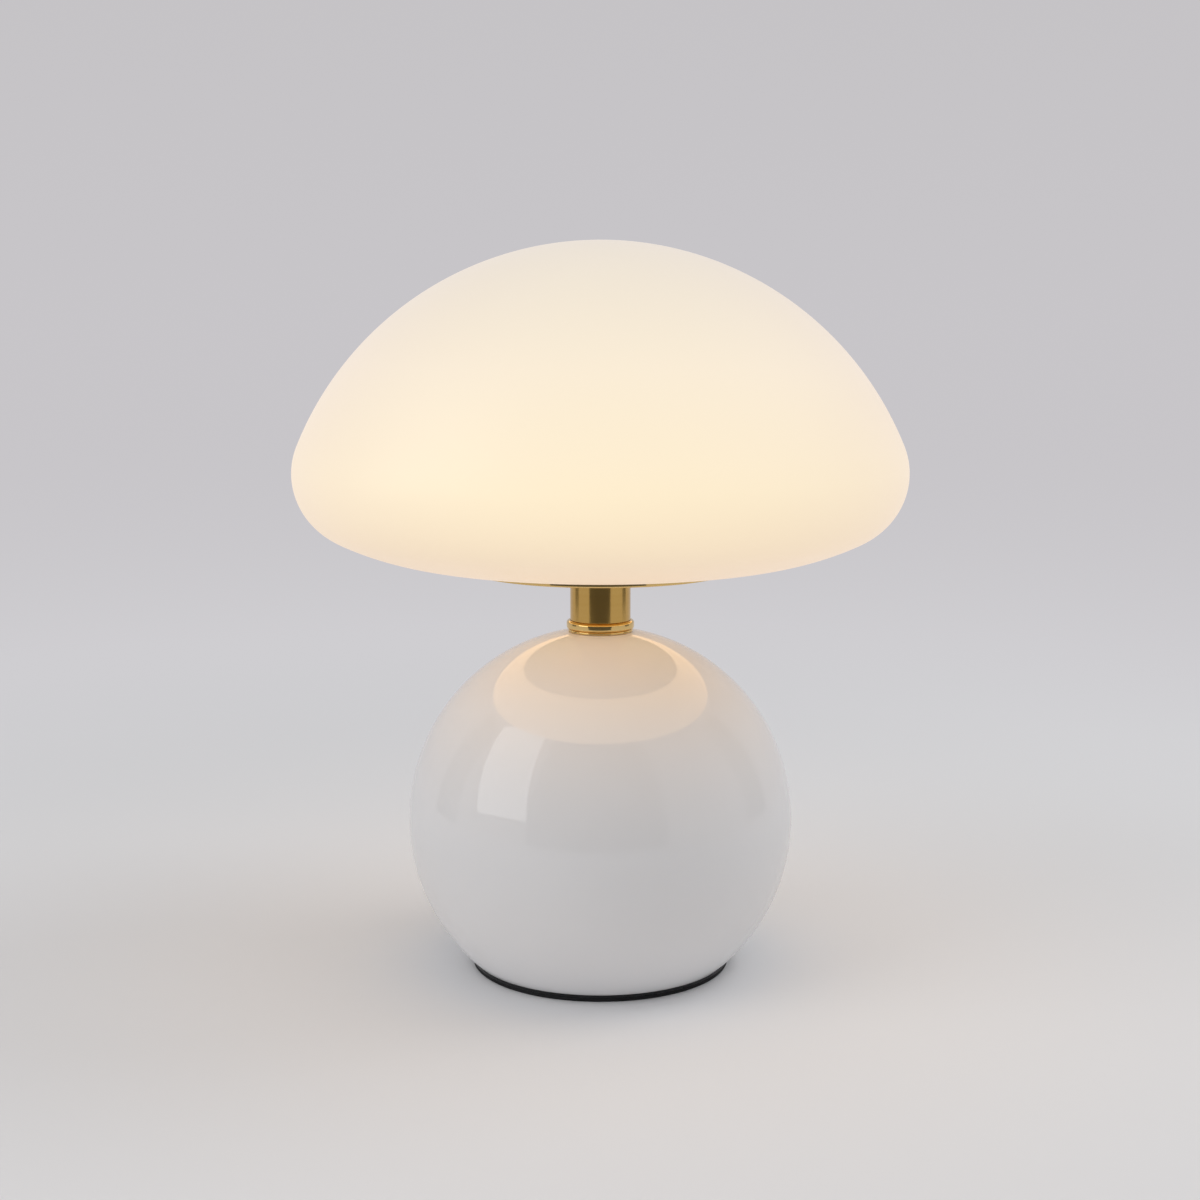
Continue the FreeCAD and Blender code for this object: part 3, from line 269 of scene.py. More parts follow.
def newMaterial(name, settings):
    # material with its shader, its object coordinates and the constant values that were given
    material = bpy.data.materials.new(name)
    material.use_nodes = True
    tree = material.node_tree
    shader = tree.nodes["Principled BSDF"]
    for label, value in settings.items():
        shader.inputs[label].default_value = value
    coordinates = tree.nodes.new("ShaderNodeTexCoord")
    return material, tree, shader, coordinates.outputs["Object"]


def addGroup(tree, group, vector, **values):
    node = tree.nodes.new("ShaderNodeGroup")
    node.node_tree = group
    tree.links.new(vector, node.inputs["Vector"])
    for label, value in values.items():
        node.inputs[label].default_value = value
    return node


def addBump(tree, shader, height, distance):
    bump = tree.nodes.new("ShaderNodeBump")
    bump.inputs["Distance"].default_value = distance
    tree.links.new(height, bump.inputs["Height"])
    tree.links.new(bump.outputs["Normal"], shader.inputs["Normal"])


def addTint(tree, shader, mask, first, second, socket="Base Color"):
    mix = tree.nodes.new("ShaderNodeMix")
    mix.data_type = "RGBA"
    tree.links.new(mask, mix.inputs["Factor"])
    mix.inputs["A"].default_value = (*first, 1)
    mix.inputs["B"].default_value = (*second, 1)
    tree.links.new(mix.outputs["Result"], shader.inputs[socket])


def tinted(tree, share, colour, tint):
    # the colour, multiplied by the tint as far as the share says
    mix = tree.nodes.new("ShaderNodeMix")
    mix.data_type = "RGBA"
    mix.blend_type = "MULTIPLY"
    tree.links.new(share, mix.inputs["Factor"])
    tree.links.new(colour, mix.inputs["A"])
    mix.inputs["B"].default_value = (*tint, 1)
    return mix.outputs["Result"]


# what a look has unless it says otherwise; grain and depth are heights in millimetres
plainLook = {"settings": {}, "cloudScale": 30.0, "grainScale": 1500.0, "grain": 0.02}
turnedLook = {"settings": {}, "cloudScale": 60.0, "grainScale": 900.0, "anisotropic": 0}
metal = {"Metallic": 1.0}


def cloudyMaterial(name, look):
    # material whose roughness comes in slow clouds
    material, tree, shader, vector = newMaterial(name, look["settings"])
    low, high = look["roughness"]
    variation = addGroup(tree, surfaceVariation, vector, **{
        "Cloud Scale": look["cloudScale"], "Grain Scale": look["grainScale"],
        "Low Roughness": low, "High Roughness": high})
    tree.links.new(variation.outputs["Roughness"], shader.inputs["Roughness"])
    return material, tree, shader, vector, variation


def plainFinish(name, look):
    # finish of a moulded, painted or plated part: slight tint and grain
    look = {**plainLook, **look}
    material, tree, shader, vector, variation = cloudyMaterial(name, look)
    addTint(tree, shader, variation.outputs["Mask"], *look["colours"])
    addBump(tree, shader, variation.outputs["Height"], look["grain"] * mm)
    return material


def turnedFinish(name, look):
    # finish of a part turned on a lathe: fine rings take the place of the grain
    look = {**turnedLook, **look}
    material, tree, shader, vector, variation = cloudyMaterial(name, look)
    marks = addGroup(tree, turningMarks, vector, **{"Pitch": look["pitch"]})
    addTint(tree, shader, marks.outputs["Streak"], *look["colours"])
    addBump(tree, shader, marks.outputs["Height"], look["depth"] * mm)
    if look["anisotropic"]:
        shader.inputs["Anisotropic"].default_value = look["anisotropic"]
        tangent = tree.nodes.new("ShaderNodeTangent")
        tangent.direction_type = "RADIAL"
        tangent.axis = "Z"
        tree.links.new(tangent.outputs["Tangent"], shader.inputs["Tangent"])
    return material


# camera, floor and light

photoView = {
    "distance": 0.7799,       # from the lamp's axis
    "height": 0.2707,
    "pitch": 8.537,           # degrees below the horizon
    "focalPixels": 1907.4,
    "axisPixel": 600.4,       # where the lamp's axis stands across the picture
    "imageSize": 1200,
    "sensor": 36.0,
}


def makeCamera():
    data = bpy.data.cameras.new("photoCamera")
    data.sensor_width = photoView["sensor"]
    data.lens = photoView["focalPixels"] / photoView["imageSize"] * photoView["sensor"]
    data.shift_x = (photoView["imageSize"] / 2 - photoView["axisPixel"]) / photoView["imageSize"]
    camera = bpy.data.objects.new("photoCamera", data)
    camera.location = (0, -photoView["distance"], photoView["height"])
    camera.rotation_euler = (math.radians(90 - photoView["pitch"]), 0, 0)
    bpy.context.scene.collection.objects.link(camera)
    bpy.context.scene.camera = camera


studio = {
    "floorColour": (0.71, 0.71, 0.72),
    "floorFinish": {"Roughness": 0.85, "Specular IOR Level": 0.2},
    "horizonColour": (0.575, 0.56, 0.582),
    "skyColour": (0.557, 0.543, 0.56),
    "skyHeight": 0.2,         # upward part of the viewing direction where it is reached
    "lowLight": (0.50, 0.50, 0.51),     # light from the horizon and from overhead
    "highLight": (0.70, 0.70, 0.71),
    "fadeStart": 0.3,         # distances from the lamp over which the floor blends into the backdrop
    "fadeEnd": 0.9,
    "farFloorColour": (0.655, 0.648, 0.67),
    "farStart": 0.55,         # from here on the far floor nears the horizon's colour
    "farFalloff": 0.65,       # distance over which what still differs falls to 1 / e
    "floorSize": 14.0,
}


def seenDirectly(tree):
    # 1 for what the camera sees, straight, mirrored or through glass
    rays = tree.nodes.new("ShaderNodeLightPath")
    seen = mathNode(tree, "MAXIMUM", rays.outputs["Is Camera Ray"], rays.outputs["Is Glossy Ray"])
    return mathNode(tree, "MAXIMUM", seen, rays.outputs["Is Transmission Ray"])


def colourStops(tree, value, colours):
    ramp = tree.nodes.new("ShaderNodeValToRGB")
    stops = ramp.color_ramp.elements
    while len(stops) < len(colours):
        stops.new(0.5)
    for stop, (position, colour) in zip(stops, colours):
        stop.position = position
        stop.color = (*colour, 1)
    tree.links.new(value, ramp.inputs["Fac"])
    return ramp.outputs["Color"]


def makeWorld():
    world = bpy.data.worlds.new("studio")
    bpy.context.scene.world = world
    world.use_nodes = True
    tree = world.node_tree
    light = tree.nodes["Background"]
    backdrop = tree.nodes.new("ShaderNodeBackground")
    coordinates = tree.nodes.new("ShaderNodeTexCoord")
    split = tree.nodes.new("ShaderNodeSeparateXYZ")
    tree.links.new(coordinates.outputs["Generated"], split.inputs["Vector"])
    height = split.outputs["Z"]
    cast = ((0, studio["lowLight"]), (1, studio["highLight"]))
    seen = ((0, studio["horizonColour"]), (studio["skyHeight"], studio["skyColour"]))
    tree.links.new(colourStops(tree, height, cast), light.inputs["Color"])
    tree.links.new(colourStops(tree, height, seen), backdrop.inputs["Color"])
    mix = tree.nodes.new("ShaderNodeMixShader")
    tree.links.new(seenDirectly(tree), mix.inputs["Fac"])
    tree.links.new(light.outputs["Background"], mix.inputs[1])
    tree.links.new(backdrop.outputs["Background"], mix.inputs[2])
    tree.links.new(mix.outputs["Shader"], tree.nodes["World Output"].inputs["Surface"])


def makeFloor():
    deselectAll()
    bpy.ops.mesh.primitive_plane_add(size=studio["floorSize"])
    floor = bpy.context.object
    floor.name = "studioFloor"
    material, tree, shader, vector = newMaterial("paleFloor", {
        "Base Color": (*studio["floorColour"], 1), **studio["floorFinish"]})
    length = tree.nodes.new("ShaderNodeVectorMath")
    length.operation = "LENGTH"
    tree.links.new(vector, length.inputs[0])
    fade = tree.nodes.new("ShaderNodeMapRange")
    fade.interpolation_type = "SMOOTHSTEP"
    fade.inputs["From Min"].default_value = studio["fadeStart"]
    fade.inputs["From Max"].default_value = studio["fadeEnd"]
    tree.links.new(length.outputs["Value"], fade.inputs["Value"])
    far = tree.nodes.new("ShaderNodeEmission")
    past = mathNode(tree, "MAXIMUM", mathNode(tree, "SUBTRACT", length.outputs["Value"], studio["farStart"]), 0.0)
    left = mathNode(tree, "EXPONENT", mathNode(tree, "DIVIDE", past, -studio["farFalloff"]))
    ends = ((0, studio["horizonColour"]), (1, studio["farFloorColour"]))
    tree.links.new(colourStops(tree, left, ends), far.inputs["Color"])
    mix = tree.nodes.new("ShaderNodeMixShader")
    share = mathNode(tree, "MULTIPLY", fade.outputs["Result"], seenDirectly(tree))
    tree.links.new(share, mix.inputs["Fac"])
    tree.links.new(shader.outputs["BSDF"], mix.inputs[1])
    tree.links.new(far.outputs["Emission"], mix.inputs[2])
    tree.links.new(mix.outputs["Shader"], tree.nodes["Material Output"].inputs["Surface"])
    floor.data.materials.append(material)


softboxes = {
    # azimuth in degrees from the camera's side, positive to the right; "tilt" turns a raised box down
    "keySoftbox": {"azimuth": -63.5, "distance": 1.1, "width": 0.87, "low": 0.02, "high": 1.5, "level": 1.4},
    "fillSoftbox": {"azimuth": 64.0, "distance": 1.3, "width": 0.85, "low": 0.12, "high": 1.3, "level": 0.6},
    "sideSoftbox": {"azimuth": 100.0, "distance": 0.9, "width": 0.7, "low": 0.75, "high": 1.45, "level": 2.7,
                    "tilt": -50.0},
}
nearLights = {
    # light of the cap between the plate and the ball, and of the pale floor under the ball
    "plateGlow": {"radius": 50 * mm, "height": 165.9 * mm, "turn": 0, "colour": (1.0, 0.76, 0.54), "level": 0.92},
    "floorGlow": {"radius": 130 * mm, "height": 0.3 * mm, "turn": 180, "colour": (1.0, 0.99, 1.0), "level": 0.15},
}
cards = {
    # what polished surfaces mirror: two bright cards, and dark ones in front of the lamp and beside it
    "keyShine": {"corners": ((-1.05, -0.28, 0.17), (-0.74, -0.80, 0.22), (-0.88, -0.64, 1.70), (-1.07, 0.03, 1.07)),
                 "glow": 2.1},
    "fillShine": {"azimuths": (46.0, 82.0), "distance": 1.1, "low": 0.0, "high": 0.18, "glow": 0.62},
    "frontFlag": {"azimuths": (-42.0, 38.0), "distance": 0.9, "low": 0.0, "high": 1.7, "shade": 0.15},
    "sideFlagRight": {"azimuths": (92.0, 112.0), "distance": 1.0, "low": 0.0, "high": 0.9, "shade": 0.30},
    "sideFlagLeft": {"azimuths": (-110.0, -90.0), "distance": 1.0, "low": 0.0, "high": 0.9, "shade": 0.30},
}
cardLook = {"cloudScale": 2.0, "shade": 0.02, "shadeSpread": 1.1, "glowTints": ((0.94, 0.94, 0.95), (1, 1, 1))}


def onCircle(azimuth, distance, height):
    angle = math.radians(azimuth)
    return Vector((math.sin(angle) * distance, -math.cos(angle) * distance, height))


def makeAreaLight(name, level, width, height=None, colour=(1, 1, 1)):
    data = bpy.data.lights.new(name, "AREA")
    data.shape = "RECTANGLE" if height else "DISK"
    data.size = width
    if height:
        data.size_y = height
    area = width * height if height else math.pi * width ** 2 / 4
    data.energy = level * math.pi * area
    data.color = colour
    lamp = bpy.data.objects.new(name, data)
    lamp.visible_camera = lamp.visible_glossy = False
    bpy.context.scene.collection.objects.link(lamp)
    return lamp


def makeLights():
    for name, box in softboxes.items():
        lamp = makeAreaLight(name, box["level"], box["width"], box["high"] - box["low"])
        lamp.location = onCircle(box["azimuth"], box["distance"], (box["low"] + box["high"]) / 2)
        lamp.rotation_euler = (math.radians(90 + box.get("tilt", 0)), 0, math.radians(box["azimuth"]))
    for name, glow in nearLights.items():
        lamp = makeAreaLight(name, glow["level"], 2 * glow["radius"], colour=glow["colour"])
        lamp.location = (0, 0, glow["height"])
        lamp.rotation_euler = (math.radians(glow["turn"]), 0, 0)


def makeCard(name, card):
    # flat card beside the lamp, hidden from the camera and from rough surfaces, that throws no shadow
    corners = card.get("corners")
    if not corners:
        left, right = card["azimuths"]
        corners = [onCircle(azimuth, card["distance"], height) for azimuth, height in (
            (left, card["low"]), (right, card["low"]), (right, card["high"]), (left, card["high"]))]
    deselectAll()
    bpy.ops.mesh.primitive_circle_add(vertices=4, fill_type="NGON")
    piece = bpy.context.object
    piece.name = name
    for vertex, corner in zip(piece.data.vertices, corners):
        vertex.co = corner
    glow, shade = card.get("glow", 0), card.get("shade", cardLook["shade"])
    material, tree, shader, vector = newMaterial(name, {
        "Roughness": 1.0, "Specular IOR Level": 0.0, "Emission Strength": glow})
    mask = addGroup(tree, surfaceVariation, vector, **{"Cloud Scale": cardLook["cloudScale"]}).outputs["Mask"]
    addTint(tree, shader, mask, (shade,) * 3, (shade * cardLook["shadeSpread"],) * 3)
    if glow:
        addTint(tree, shader, mask, *cardLook["glowTints"], "Emission Color")
    piece.data.materials.append(material)
    piece.visible_camera = piece.visible_diffuse = piece.visible_shadow = False


makeCamera()
makeWorld()
makeFloor()
makeLights()
for cardName, cardSizes in cards.items():
    makeCard(cardName, cardSizes)
print("stage: camera, floor, backdrop, lights and cards")


# glass cap

glass = {
    "wall": 3.0 * mm,
    "shoulderRadius": 29.1 * mm,
    "undersideRadius": 110.0 * mm,
    "mouthRadius": 50.5 * mm,
    "bellyHeight": 36.9 * mm,     # widest place over the mouth
    "capHeight": 130.0 * mm,
    "mouthRounding": 1.0 * mm,
    "crownSteps": 56,
    "shoulderSteps": 40,
    "undersideSteps": 28,
    "sides": 256,
}
opal = {
    "settings": {"IOR": 1.5, "Specular IOR Level": 0.2, "Emission Strength": 1.0},
    "roughness": (0.38, 0.48), "cloudScale": 9.0, "grainScale": 40.0, "grain": 0.05,
    "body": ((0.23, 0.22, 0.205), (0.21, 0.20, 0.185)),
    # glow by height over the mouth, as a share of the cap's height
    "glow": ((0.0, (0.785, 0.61, 0.39)), (0.30, (0.835, 0.70, 0.475)), (0.62, (0.80, 0.69, 0.51)),
             (1.0, (0.70, 0.635, 0.49))),
    "rimTint": (0.80, 0.785, 0.90),   # where the glass is seen along its wall
    "rimBlend": 0.45,
    "castTint": (1.50, 1.30, 1.12),   # what falls on the lamp and the floor, against what the camera sees
    "mirrorTint": (2.6, 2.25, 1.8),   # what polished surfaces mirror of it
}


def makeOpalGlass(low, high):
    material, tree, shader, vector, variation = cloudyMaterial("opalGlass", opal)
    addTint(tree, shader, variation.outputs["Mask"], *opal["body"])
    split = tree.nodes.new("ShaderNodeSeparateXYZ")
    tree.links.new(vector, split.inputs["Vector"])
    share = tree.nodes.new("ShaderNodeMapRange")
    share.inputs["From Min"].default_value = low
    share.inputs["From Max"].default_value = high
    tree.links.new(split.outputs["Z"], share.inputs["Value"])
    facing = tree.nodes.new("ShaderNodeLayerWeight")
    facing.inputs["Blend"].default_value = opal["rimBlend"]
    rays = tree.nodes.new("ShaderNodeLightPath")
    colour = colourStops(tree, share.outputs["Result"], opal["glow"])
    colour = tinted(tree, facing.outputs["Facing"], colour, opal["rimTint"])
    colour = tinted(tree, rays.outputs["Is Diffuse Ray"], colour, opal["castTint"])
    colour = tinted(tree, rays.outputs["Is Glossy Ray"], colour, opal["mirrorTint"])
    tree.links.new(colour, shader.inputs["Emission Color"])
    addBump(tree, shader, variation.outputs["Height"], opal["grain"] * mm)
    return material


def makeGlassShade():
    low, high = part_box("glass_shade")
    top, radius = high.z, high.x
    mouth = top - glass["capHeight"]
    wall, shoulder, under = glass["wall"], glass["shoulderRadius"], glass["undersideRadius"]
    shoulderOut, belly = radius - shoulder, mouth + glass["bellyHeight"]
    crownRise = glass["capHeight"] - glass["bellyHeight"]
    crown = (shoulderOut ** 2 + crownRise ** 2 - shoulder ** 2) / (2 * (crownRise - shoulder))
    crownMiddle = Vector((0, top - crown))
    shoulderMiddle = Vector((shoulderOut, belly))
    # middle of the underside's arc: it passes the mouth and touches the shoulder's arc
    line = Vector((glass["mouthRadius"], mouth)) - shoulderMiddle
    along = ((under - shoulder) ** 2 - under ** 2 + line.length_squared) / (2 * line.length)
    off = math.sqrt((under - shoulder) ** 2 - along ** 2)
    way = line.normalized()
    underMiddle = shoulderMiddle + way * along + Vector((way.y, -way.x)) * off
    crownEnd = math.degrees(math.atan2(*(shoulderMiddle - crownMiddle).yx))
    underEnd = math.degrees(math.atan2(*(shoulderMiddle - underMiddle).yx))
    mouthReach = glass["mouthRadius"] - underMiddle.x

    def mouthAngle(depth):
        return -math.degrees(math.acos(mouthReach / (under - depth)))

    outer = arcPoints(crownMiddle, crown, 90, crownEnd, glass["crownSteps"])
    outer += arcPoints(shoulderMiddle, shoulder, crownEnd, underEnd, glass["shoulderSteps"])[1:]
    outer += arcPoints(underMiddle, under, underEnd, mouthAngle(0), glass["undersideSteps"])[1:]
    inner = arcPoints(crownMiddle, crown - wall, 90, crownEnd, glass["crownSteps"])
    inner += arcPoints(shoulderMiddle, shoulder - wall, crownEnd, underEnd, glass["shoulderSteps"])[1:]
    inner += arcPoints(underMiddle, under - wall, underEnd, mouthAngle(wall), glass["undersideSteps"])[1:]
    # fire-polished lip at the mouth
    rounding = glass["mouthRounding"]
    edge = [(*outer[-2], 0), (*outer[-1], rounding), (*inner[-1], rounding), (*inner[-2], 0)]
    lip = roundedOutline(edge)[1:-1]
    outline = outer[:-1] + lip + inner[-2::-1]
    outline[0], outline[-1] = (0, outline[0][1]), (0, outline[-1][1])
    piece = turnOutline("glassShade", outline, glass["sides"], closed=False)
    return place(piece, "shade", "opal_glass", makeOpalGlass(mouth, top), "glass_shade")


glassShade = makeGlassShade()
print("glass cap:", len(glassShade.data.polygons), "faces")


# ball

ball = {
    "wall": 1.5 * mm,
    "segments": 256,
    "rings": 128,
    "openingRadius": 48.0 * mm,
    "rimRounding": 0.2 * mm,
    "rimBand": 0.05 * mm,      # how far from the foot's radius the lower rim is looked for
    "rimSteps": 3,
    "buttonHole": 8.2 * mm,
    "buttonSides": 96,
    "portSlot": (12.8 * mm, 6.8 * mm),
    "slotRounding": 0.999,     # of half its height, so that the two roundings of an end don't meet
    "slotSteps": 12,
    "portDrop": 28.0,          # degrees below the ball's middle
}
lacquer = {
    "settings": {"IOR": 1.5},
    "colours": ((0.68, 0.675, 0.68), (0.655, 0.65, 0.655)),
    "roughness": (0.015, 0.035), "cloudScale": 14.0, "grainScale": 260.0, "grain": 0.001,
}


def ballSizes():
    low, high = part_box("ball_shell")
    radius = (high.x - low.x) / 2
    foot = nodesFootRadius(low.z)
    return low.z, high.z, radius, low.z + math.sqrt(radius ** 2 - foot ** 2)


def nodesFootRadius(height):
    # widest ring of the CAD's ball that lies at its lowest height
    return max(vertex.co.xy.length for vertex in nodes["ball_shell"].data.vertices if vertex.co.z < height + 10 * near)


def makeButtonCutter(radius, middle):
    deselectAll()
    bpy.ops.mesh.primitive_cylinder_add(
        vertices=ball["buttonSides"], radius=ball["buttonHole"], depth=radius, location=(0, radius, middle),
        rotation=(math.radians(90), 0, 0))
    return bpy.context.object


def makeSlotCutter(radius, middle):
    # drawn level towards the back, then turned down to the port's place
    length, height = ball["portSlot"]
    deselectAll()
    bpy.ops.mesh.primitive_cube_add(size=1)
    slot = bpy.context.object
    slot.scale = (length, radius, height)
    slot.location = (0, radius, 0)
    applyPlace(slot)
    editMode()
    selectWhere(slot, "EDGE", lambda edge: (edge.verts[0].co - edge.verts[1].co).xz.length < mm)
    bpy.ops.mesh.bevel(offset=height / 2 * ball["slotRounding"], segments=ball["slotSteps"], affect="EDGES")
    objectMode()
    turn = Matrix.Rotation(-math.radians(ball["portDrop"]), 4, "X")
    slot.matrix_world = Matrix.Translation((0, 0, middle)) @ turn
    applyPlace(slot)
    return slot


def makeBallShell():
    floor, crown, radius, middle = ballSizes()
    deselectAll()
    bpy.ops.mesh.primitive_uv_sphere_add(
        segments=ball["segments"], ring_count=ball["rings"], radius=radius, location=(0, 0, middle))
    piece = bpy.context.object
    piece.name = piece.data.name = "ballShell"
    applyPlace(piece)
    editMode()
    bpy.ops.mesh.bisect(plane_co=(0, 0, floor), plane_no=(0, 0, 1), clear_inner=True, threshold=weld)
    bpy.ops.mesh.select_all(action="SELECT")
    bpy.ops.mesh.bisect(plane_co=(0, 0, crown), plane_no=(0, 0, 1), clear_outer=True, threshold=weld)
    # both flats are turned in from the cut rims
    for height, inner in ((floor, ball["openingRadius"]), (crown, rodHole)):
        selectWhere(piece, "EDGE", lambda edge: liesAt(edge, height) and edge.is_boundary)
        mesh = bmesh.from_edit_mesh(piece.data)
        rim = next(v.co.xy.length for v in mesh.verts if v.select)
        bpy.ops.mesh.extrude_edges_move()
        share = inner / rim
        bpy.ops.transform.resize(value=(share, share, 1), center_override=(0, 0, height))
    # rolled lower rim
    foot = nodesFootRadius(floor)
    selectWhere(piece, "EDGE", lambda edge: liesAt(edge, floor) and all(
        abs(vertex.co.xy.length - foot) < ball["rimBand"] for vertex in edge.verts))
    bpy.ops.mesh.bevel(offset=ball["rimRounding"], segments=ball["rimSteps"], affect="EDGES")
    bpy.ops.mesh.select_all(action="SELECT")
    bpy.ops.mesh.normals_make_consistent(inside=False)
    objectMode()
    solid = piece.modifiers.new("wall", "SOLIDIFY")
    solid.thickness = ball["wall"]
    solid.offset = -1
    applyAll(piece)
    boolean(piece, makeButtonCutter(radius, middle))
    boolean(piece, makeSlotCutter(radius, middle))
    smooth(piece)
    return place(piece, "base", "white_lacquer", plainFinish("whiteLacquer", lacquer), "ball_shell")


ballShell = makeBallShell()
print("ball:", len(ballShell.data.polygons), "faces")


# neck: brushed tube, polished bead and the plate under the glass

brass = {
    "tube": {"settings": metal, "colours": ((0.62, 0.38, 0.102), (0.67, 0.425, 0.13)),
             "roughness": (0.10, 0.14), "pitch": 9000.0, "depth": 0.002, "anisotropic": 0.6},
    "polished": {"settings": metal, "colours": ((0.76, 0.52, 0.19), (0.82, 0.58, 0.24)),
                 "roughness": (0.04, 0.07), "pitch": 5000.0, "depth": 0.0004},
}
neck = {
    "wall": 1.1 * mm,
    "edge": 0.2 * mm,
    "lipRadius": 13.4 * mm,
    "lipHeight": 1.2 * mm,
    "lipRounding": 0.45 * mm,
    "beadRoot": 12.55 * mm,
    "beadHeight": 3.55 * mm,
    "beadOver": 1.15 * mm,     # roundings of the bead over and under its straight band
    "beadUnder": 0.75 * mm,
    "groove": 0.15 * mm,
    "spigotGap": 0.2 * mm,
    "spigotWall": 2.0 * mm,
    "sides": 160,
}
plate = {
    "thickness": 3.0 * mm,
    "edge": 0.5 * mm,
    "bossRadius": 49.0 * mm,
    "bossEdge": 0.4 * mm,
    "sides": 224,
}


def spigotRadius():
    # the bead and the plate both have a spigot that slides into the tube
    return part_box("neck_tube")[1].x - neck["wall"] - neck["spigotGap"]


def makeNeckTube():
    low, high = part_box("neck_tube")
    outer, edge = high.x, neck["edge"]
    bore = outer - neck["wall"]
    piece = turnOutline("neckTube", roundedOutline([
        (bore, low.z, 0), (outer, low.z, edge), (outer, high.z, edge), (bore, high.z, 0)], 4), neck["sides"])
    place(piece, "base", "brushed_brass", turnedFinish("brushedBrass", brass["tube"]), "neck_tube")


def makeNeckCollar(finish):
    low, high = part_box("neck_collar")
    bottom, lipTop = low.z, low.z + neck["lipHeight"]
    beadTop, root, bead = lipTop + neck["beadHeight"], neck["beadRoot"], high.x
    lip, rounding, groove = neck["lipRadius"], neck["lipRounding"], neck["groove"]
    spigot = spigotRadius()
    outline = roundedOutline([
        (rodHole, bottom, 0), (lip, bottom, rounding), (lip, lipTop, rounding), (root, lipTop, 0),
        (root, lipTop + groove, 0), (bead, lipTop + groove, neck["beadUnder"]), (bead, beadTop, neck["beadOver"]),
        (root, beadTop, 0), (spigot, beadTop, 0), (spigot, high.z, neck["edge"]),
        (spigot - neck["spigotWall"], high.z, neck["edge"]), (spigot - neck["spigotWall"], lipTop, 0),
        (rodHole, lipTop, 0)], 7)
    piece = turnOutline("neckCollar", outline, neck["sides"])
    place(piece, "base", "polished_brass", finish, "neck_collar")


def makeShadePlate(finish):
    low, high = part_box("shade_plate")
    under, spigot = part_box("neck_tube")[1].z, spigotRadius()
    top = under + plate["thickness"]
    outline = roundedOutline([
        (rodHole, low.z, 0), (spigot, low.z, neck["edge"]), (spigot, under, 0),
        (high.x, under, plate["edge"]), (high.x, top, plate["edge"]), (plate["bossRadius"], top, 0),
        (plate["bossRadius"], high.z, plate["bossEdge"]), (rodHole, high.z, 0)], 6)
    piece = turnOutline("shadePlate", outline, plate["sides"])
    place(piece, "base", "polished_brass", finish, "shade_plate")


polishedBrass = turnedFinish("polishedBrass", brass["polished"])
makeNeckTube()
makeNeckCollar(polishedBrass)
makeShadePlate(polishedBrass)
print("neck: tube, collar and plate")


# foot: painted cover and rubber pad

foot = {
    "padEdge": 0.4 * mm,
    "padSteps": 4,
    "padInset": 3.0 * mm,      # ring of faces that keeps the flat sides flat beside the rounded edge
    "coverEdge": 0.3 * mm,
    "sheet": 1.2 * mm,
    "upstand": 3.0 * mm,
    "upstandRadius": 47.8 * mm,
    "pocketRadius": 13.0 * mm,
    "sides": 224,
}
footLooks = {
    "blackPaint": {"settings": {"Specular IOR Level": 0.25}, "colours": ((0.008, 0.008, 0.009), (0.012, 0.012, 0.013)),
                   "roughness": (0.24, 0.34), "cloudScale": 40.0, "grain": 0.005},
    "blackRubber": {"settings": {"Specular IOR Level": 0.25}, "colours": ((0.006, 0.006, 0.007), (0.011, 0.011, 0.012)),
                    "roughness": (0.62, 0.80), "cloudScale": 60.0, "grainScale": 2600.0, "grain": 0.05},
}


def makeBasePad():
    low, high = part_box("base_pad")
    deselectAll()
    bpy.ops.mesh.primitive_cylinder_add(
        vertices=foot["sides"], radius=high.x, depth=high.z - low.z, location=(0, 0, (low.z + high.z) / 2))
    piece = bpy.context.object
    piece.name = piece.data.name = "basePad"
    applyPlace(piece)
    editMode()
    selectWhere(piece, "EDGE", lambda edge: liesAt(edge, low.z) or liesAt(edge, high.z))
    bpy.ops.mesh.bevel(offset=foot["padEdge"], segments=foot["padSteps"], affect="EDGES")
    selectWhere(piece, "FACE", lambda face: abs(face.normal.z) > 0.99)
    bpy.ops.mesh.inset(thickness=foot["padInset"], use_individual=True)
    objectMode()
    smooth(piece)
    place(piece, "base", "black_rubber", plainFinish("blackRubber", footLooks["blackRubber"]), "base_pad")


def makeBottomCover():
    # pressed disc with an upstand that centres it and a pocket for the rod's nut
    low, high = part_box("bottom_cover")
    sheet, pocket, hole = foot["sheet"], foot["pocketRadius"], rodHole
    floor, upstand = low.z + sheet, foot["upstandRadius"]
    piece = turnOutline("bottomCover", roundedOutline([
        (hole, high.z - sheet, 0), (pocket, high.z - sheet, 0), (pocket, low.z, 0), (high.x, low.z, foot["coverEdge"]),
        (high.x, floor, foot["coverEdge"]), (upstand, floor, 0), (upstand, floor + foot["upstand"], 0),
        (upstand - sheet, floor + foot["upstand"], 0), (upstand - sheet, floor, 0), (pocket + sheet, floor, 0),
        (pocket + sheet, high.z, 0), (hole, high.z, 0)], 4), foot["sides"])
    place(piece, "base", "black_paint", plainFinish("blackPaint", footLooks["blackPaint"]), "bottom_cover")


makeBasePad()
makeBottomCover()
print("foot: pad and cover")


# inner dome and the gasket that the glass sits on

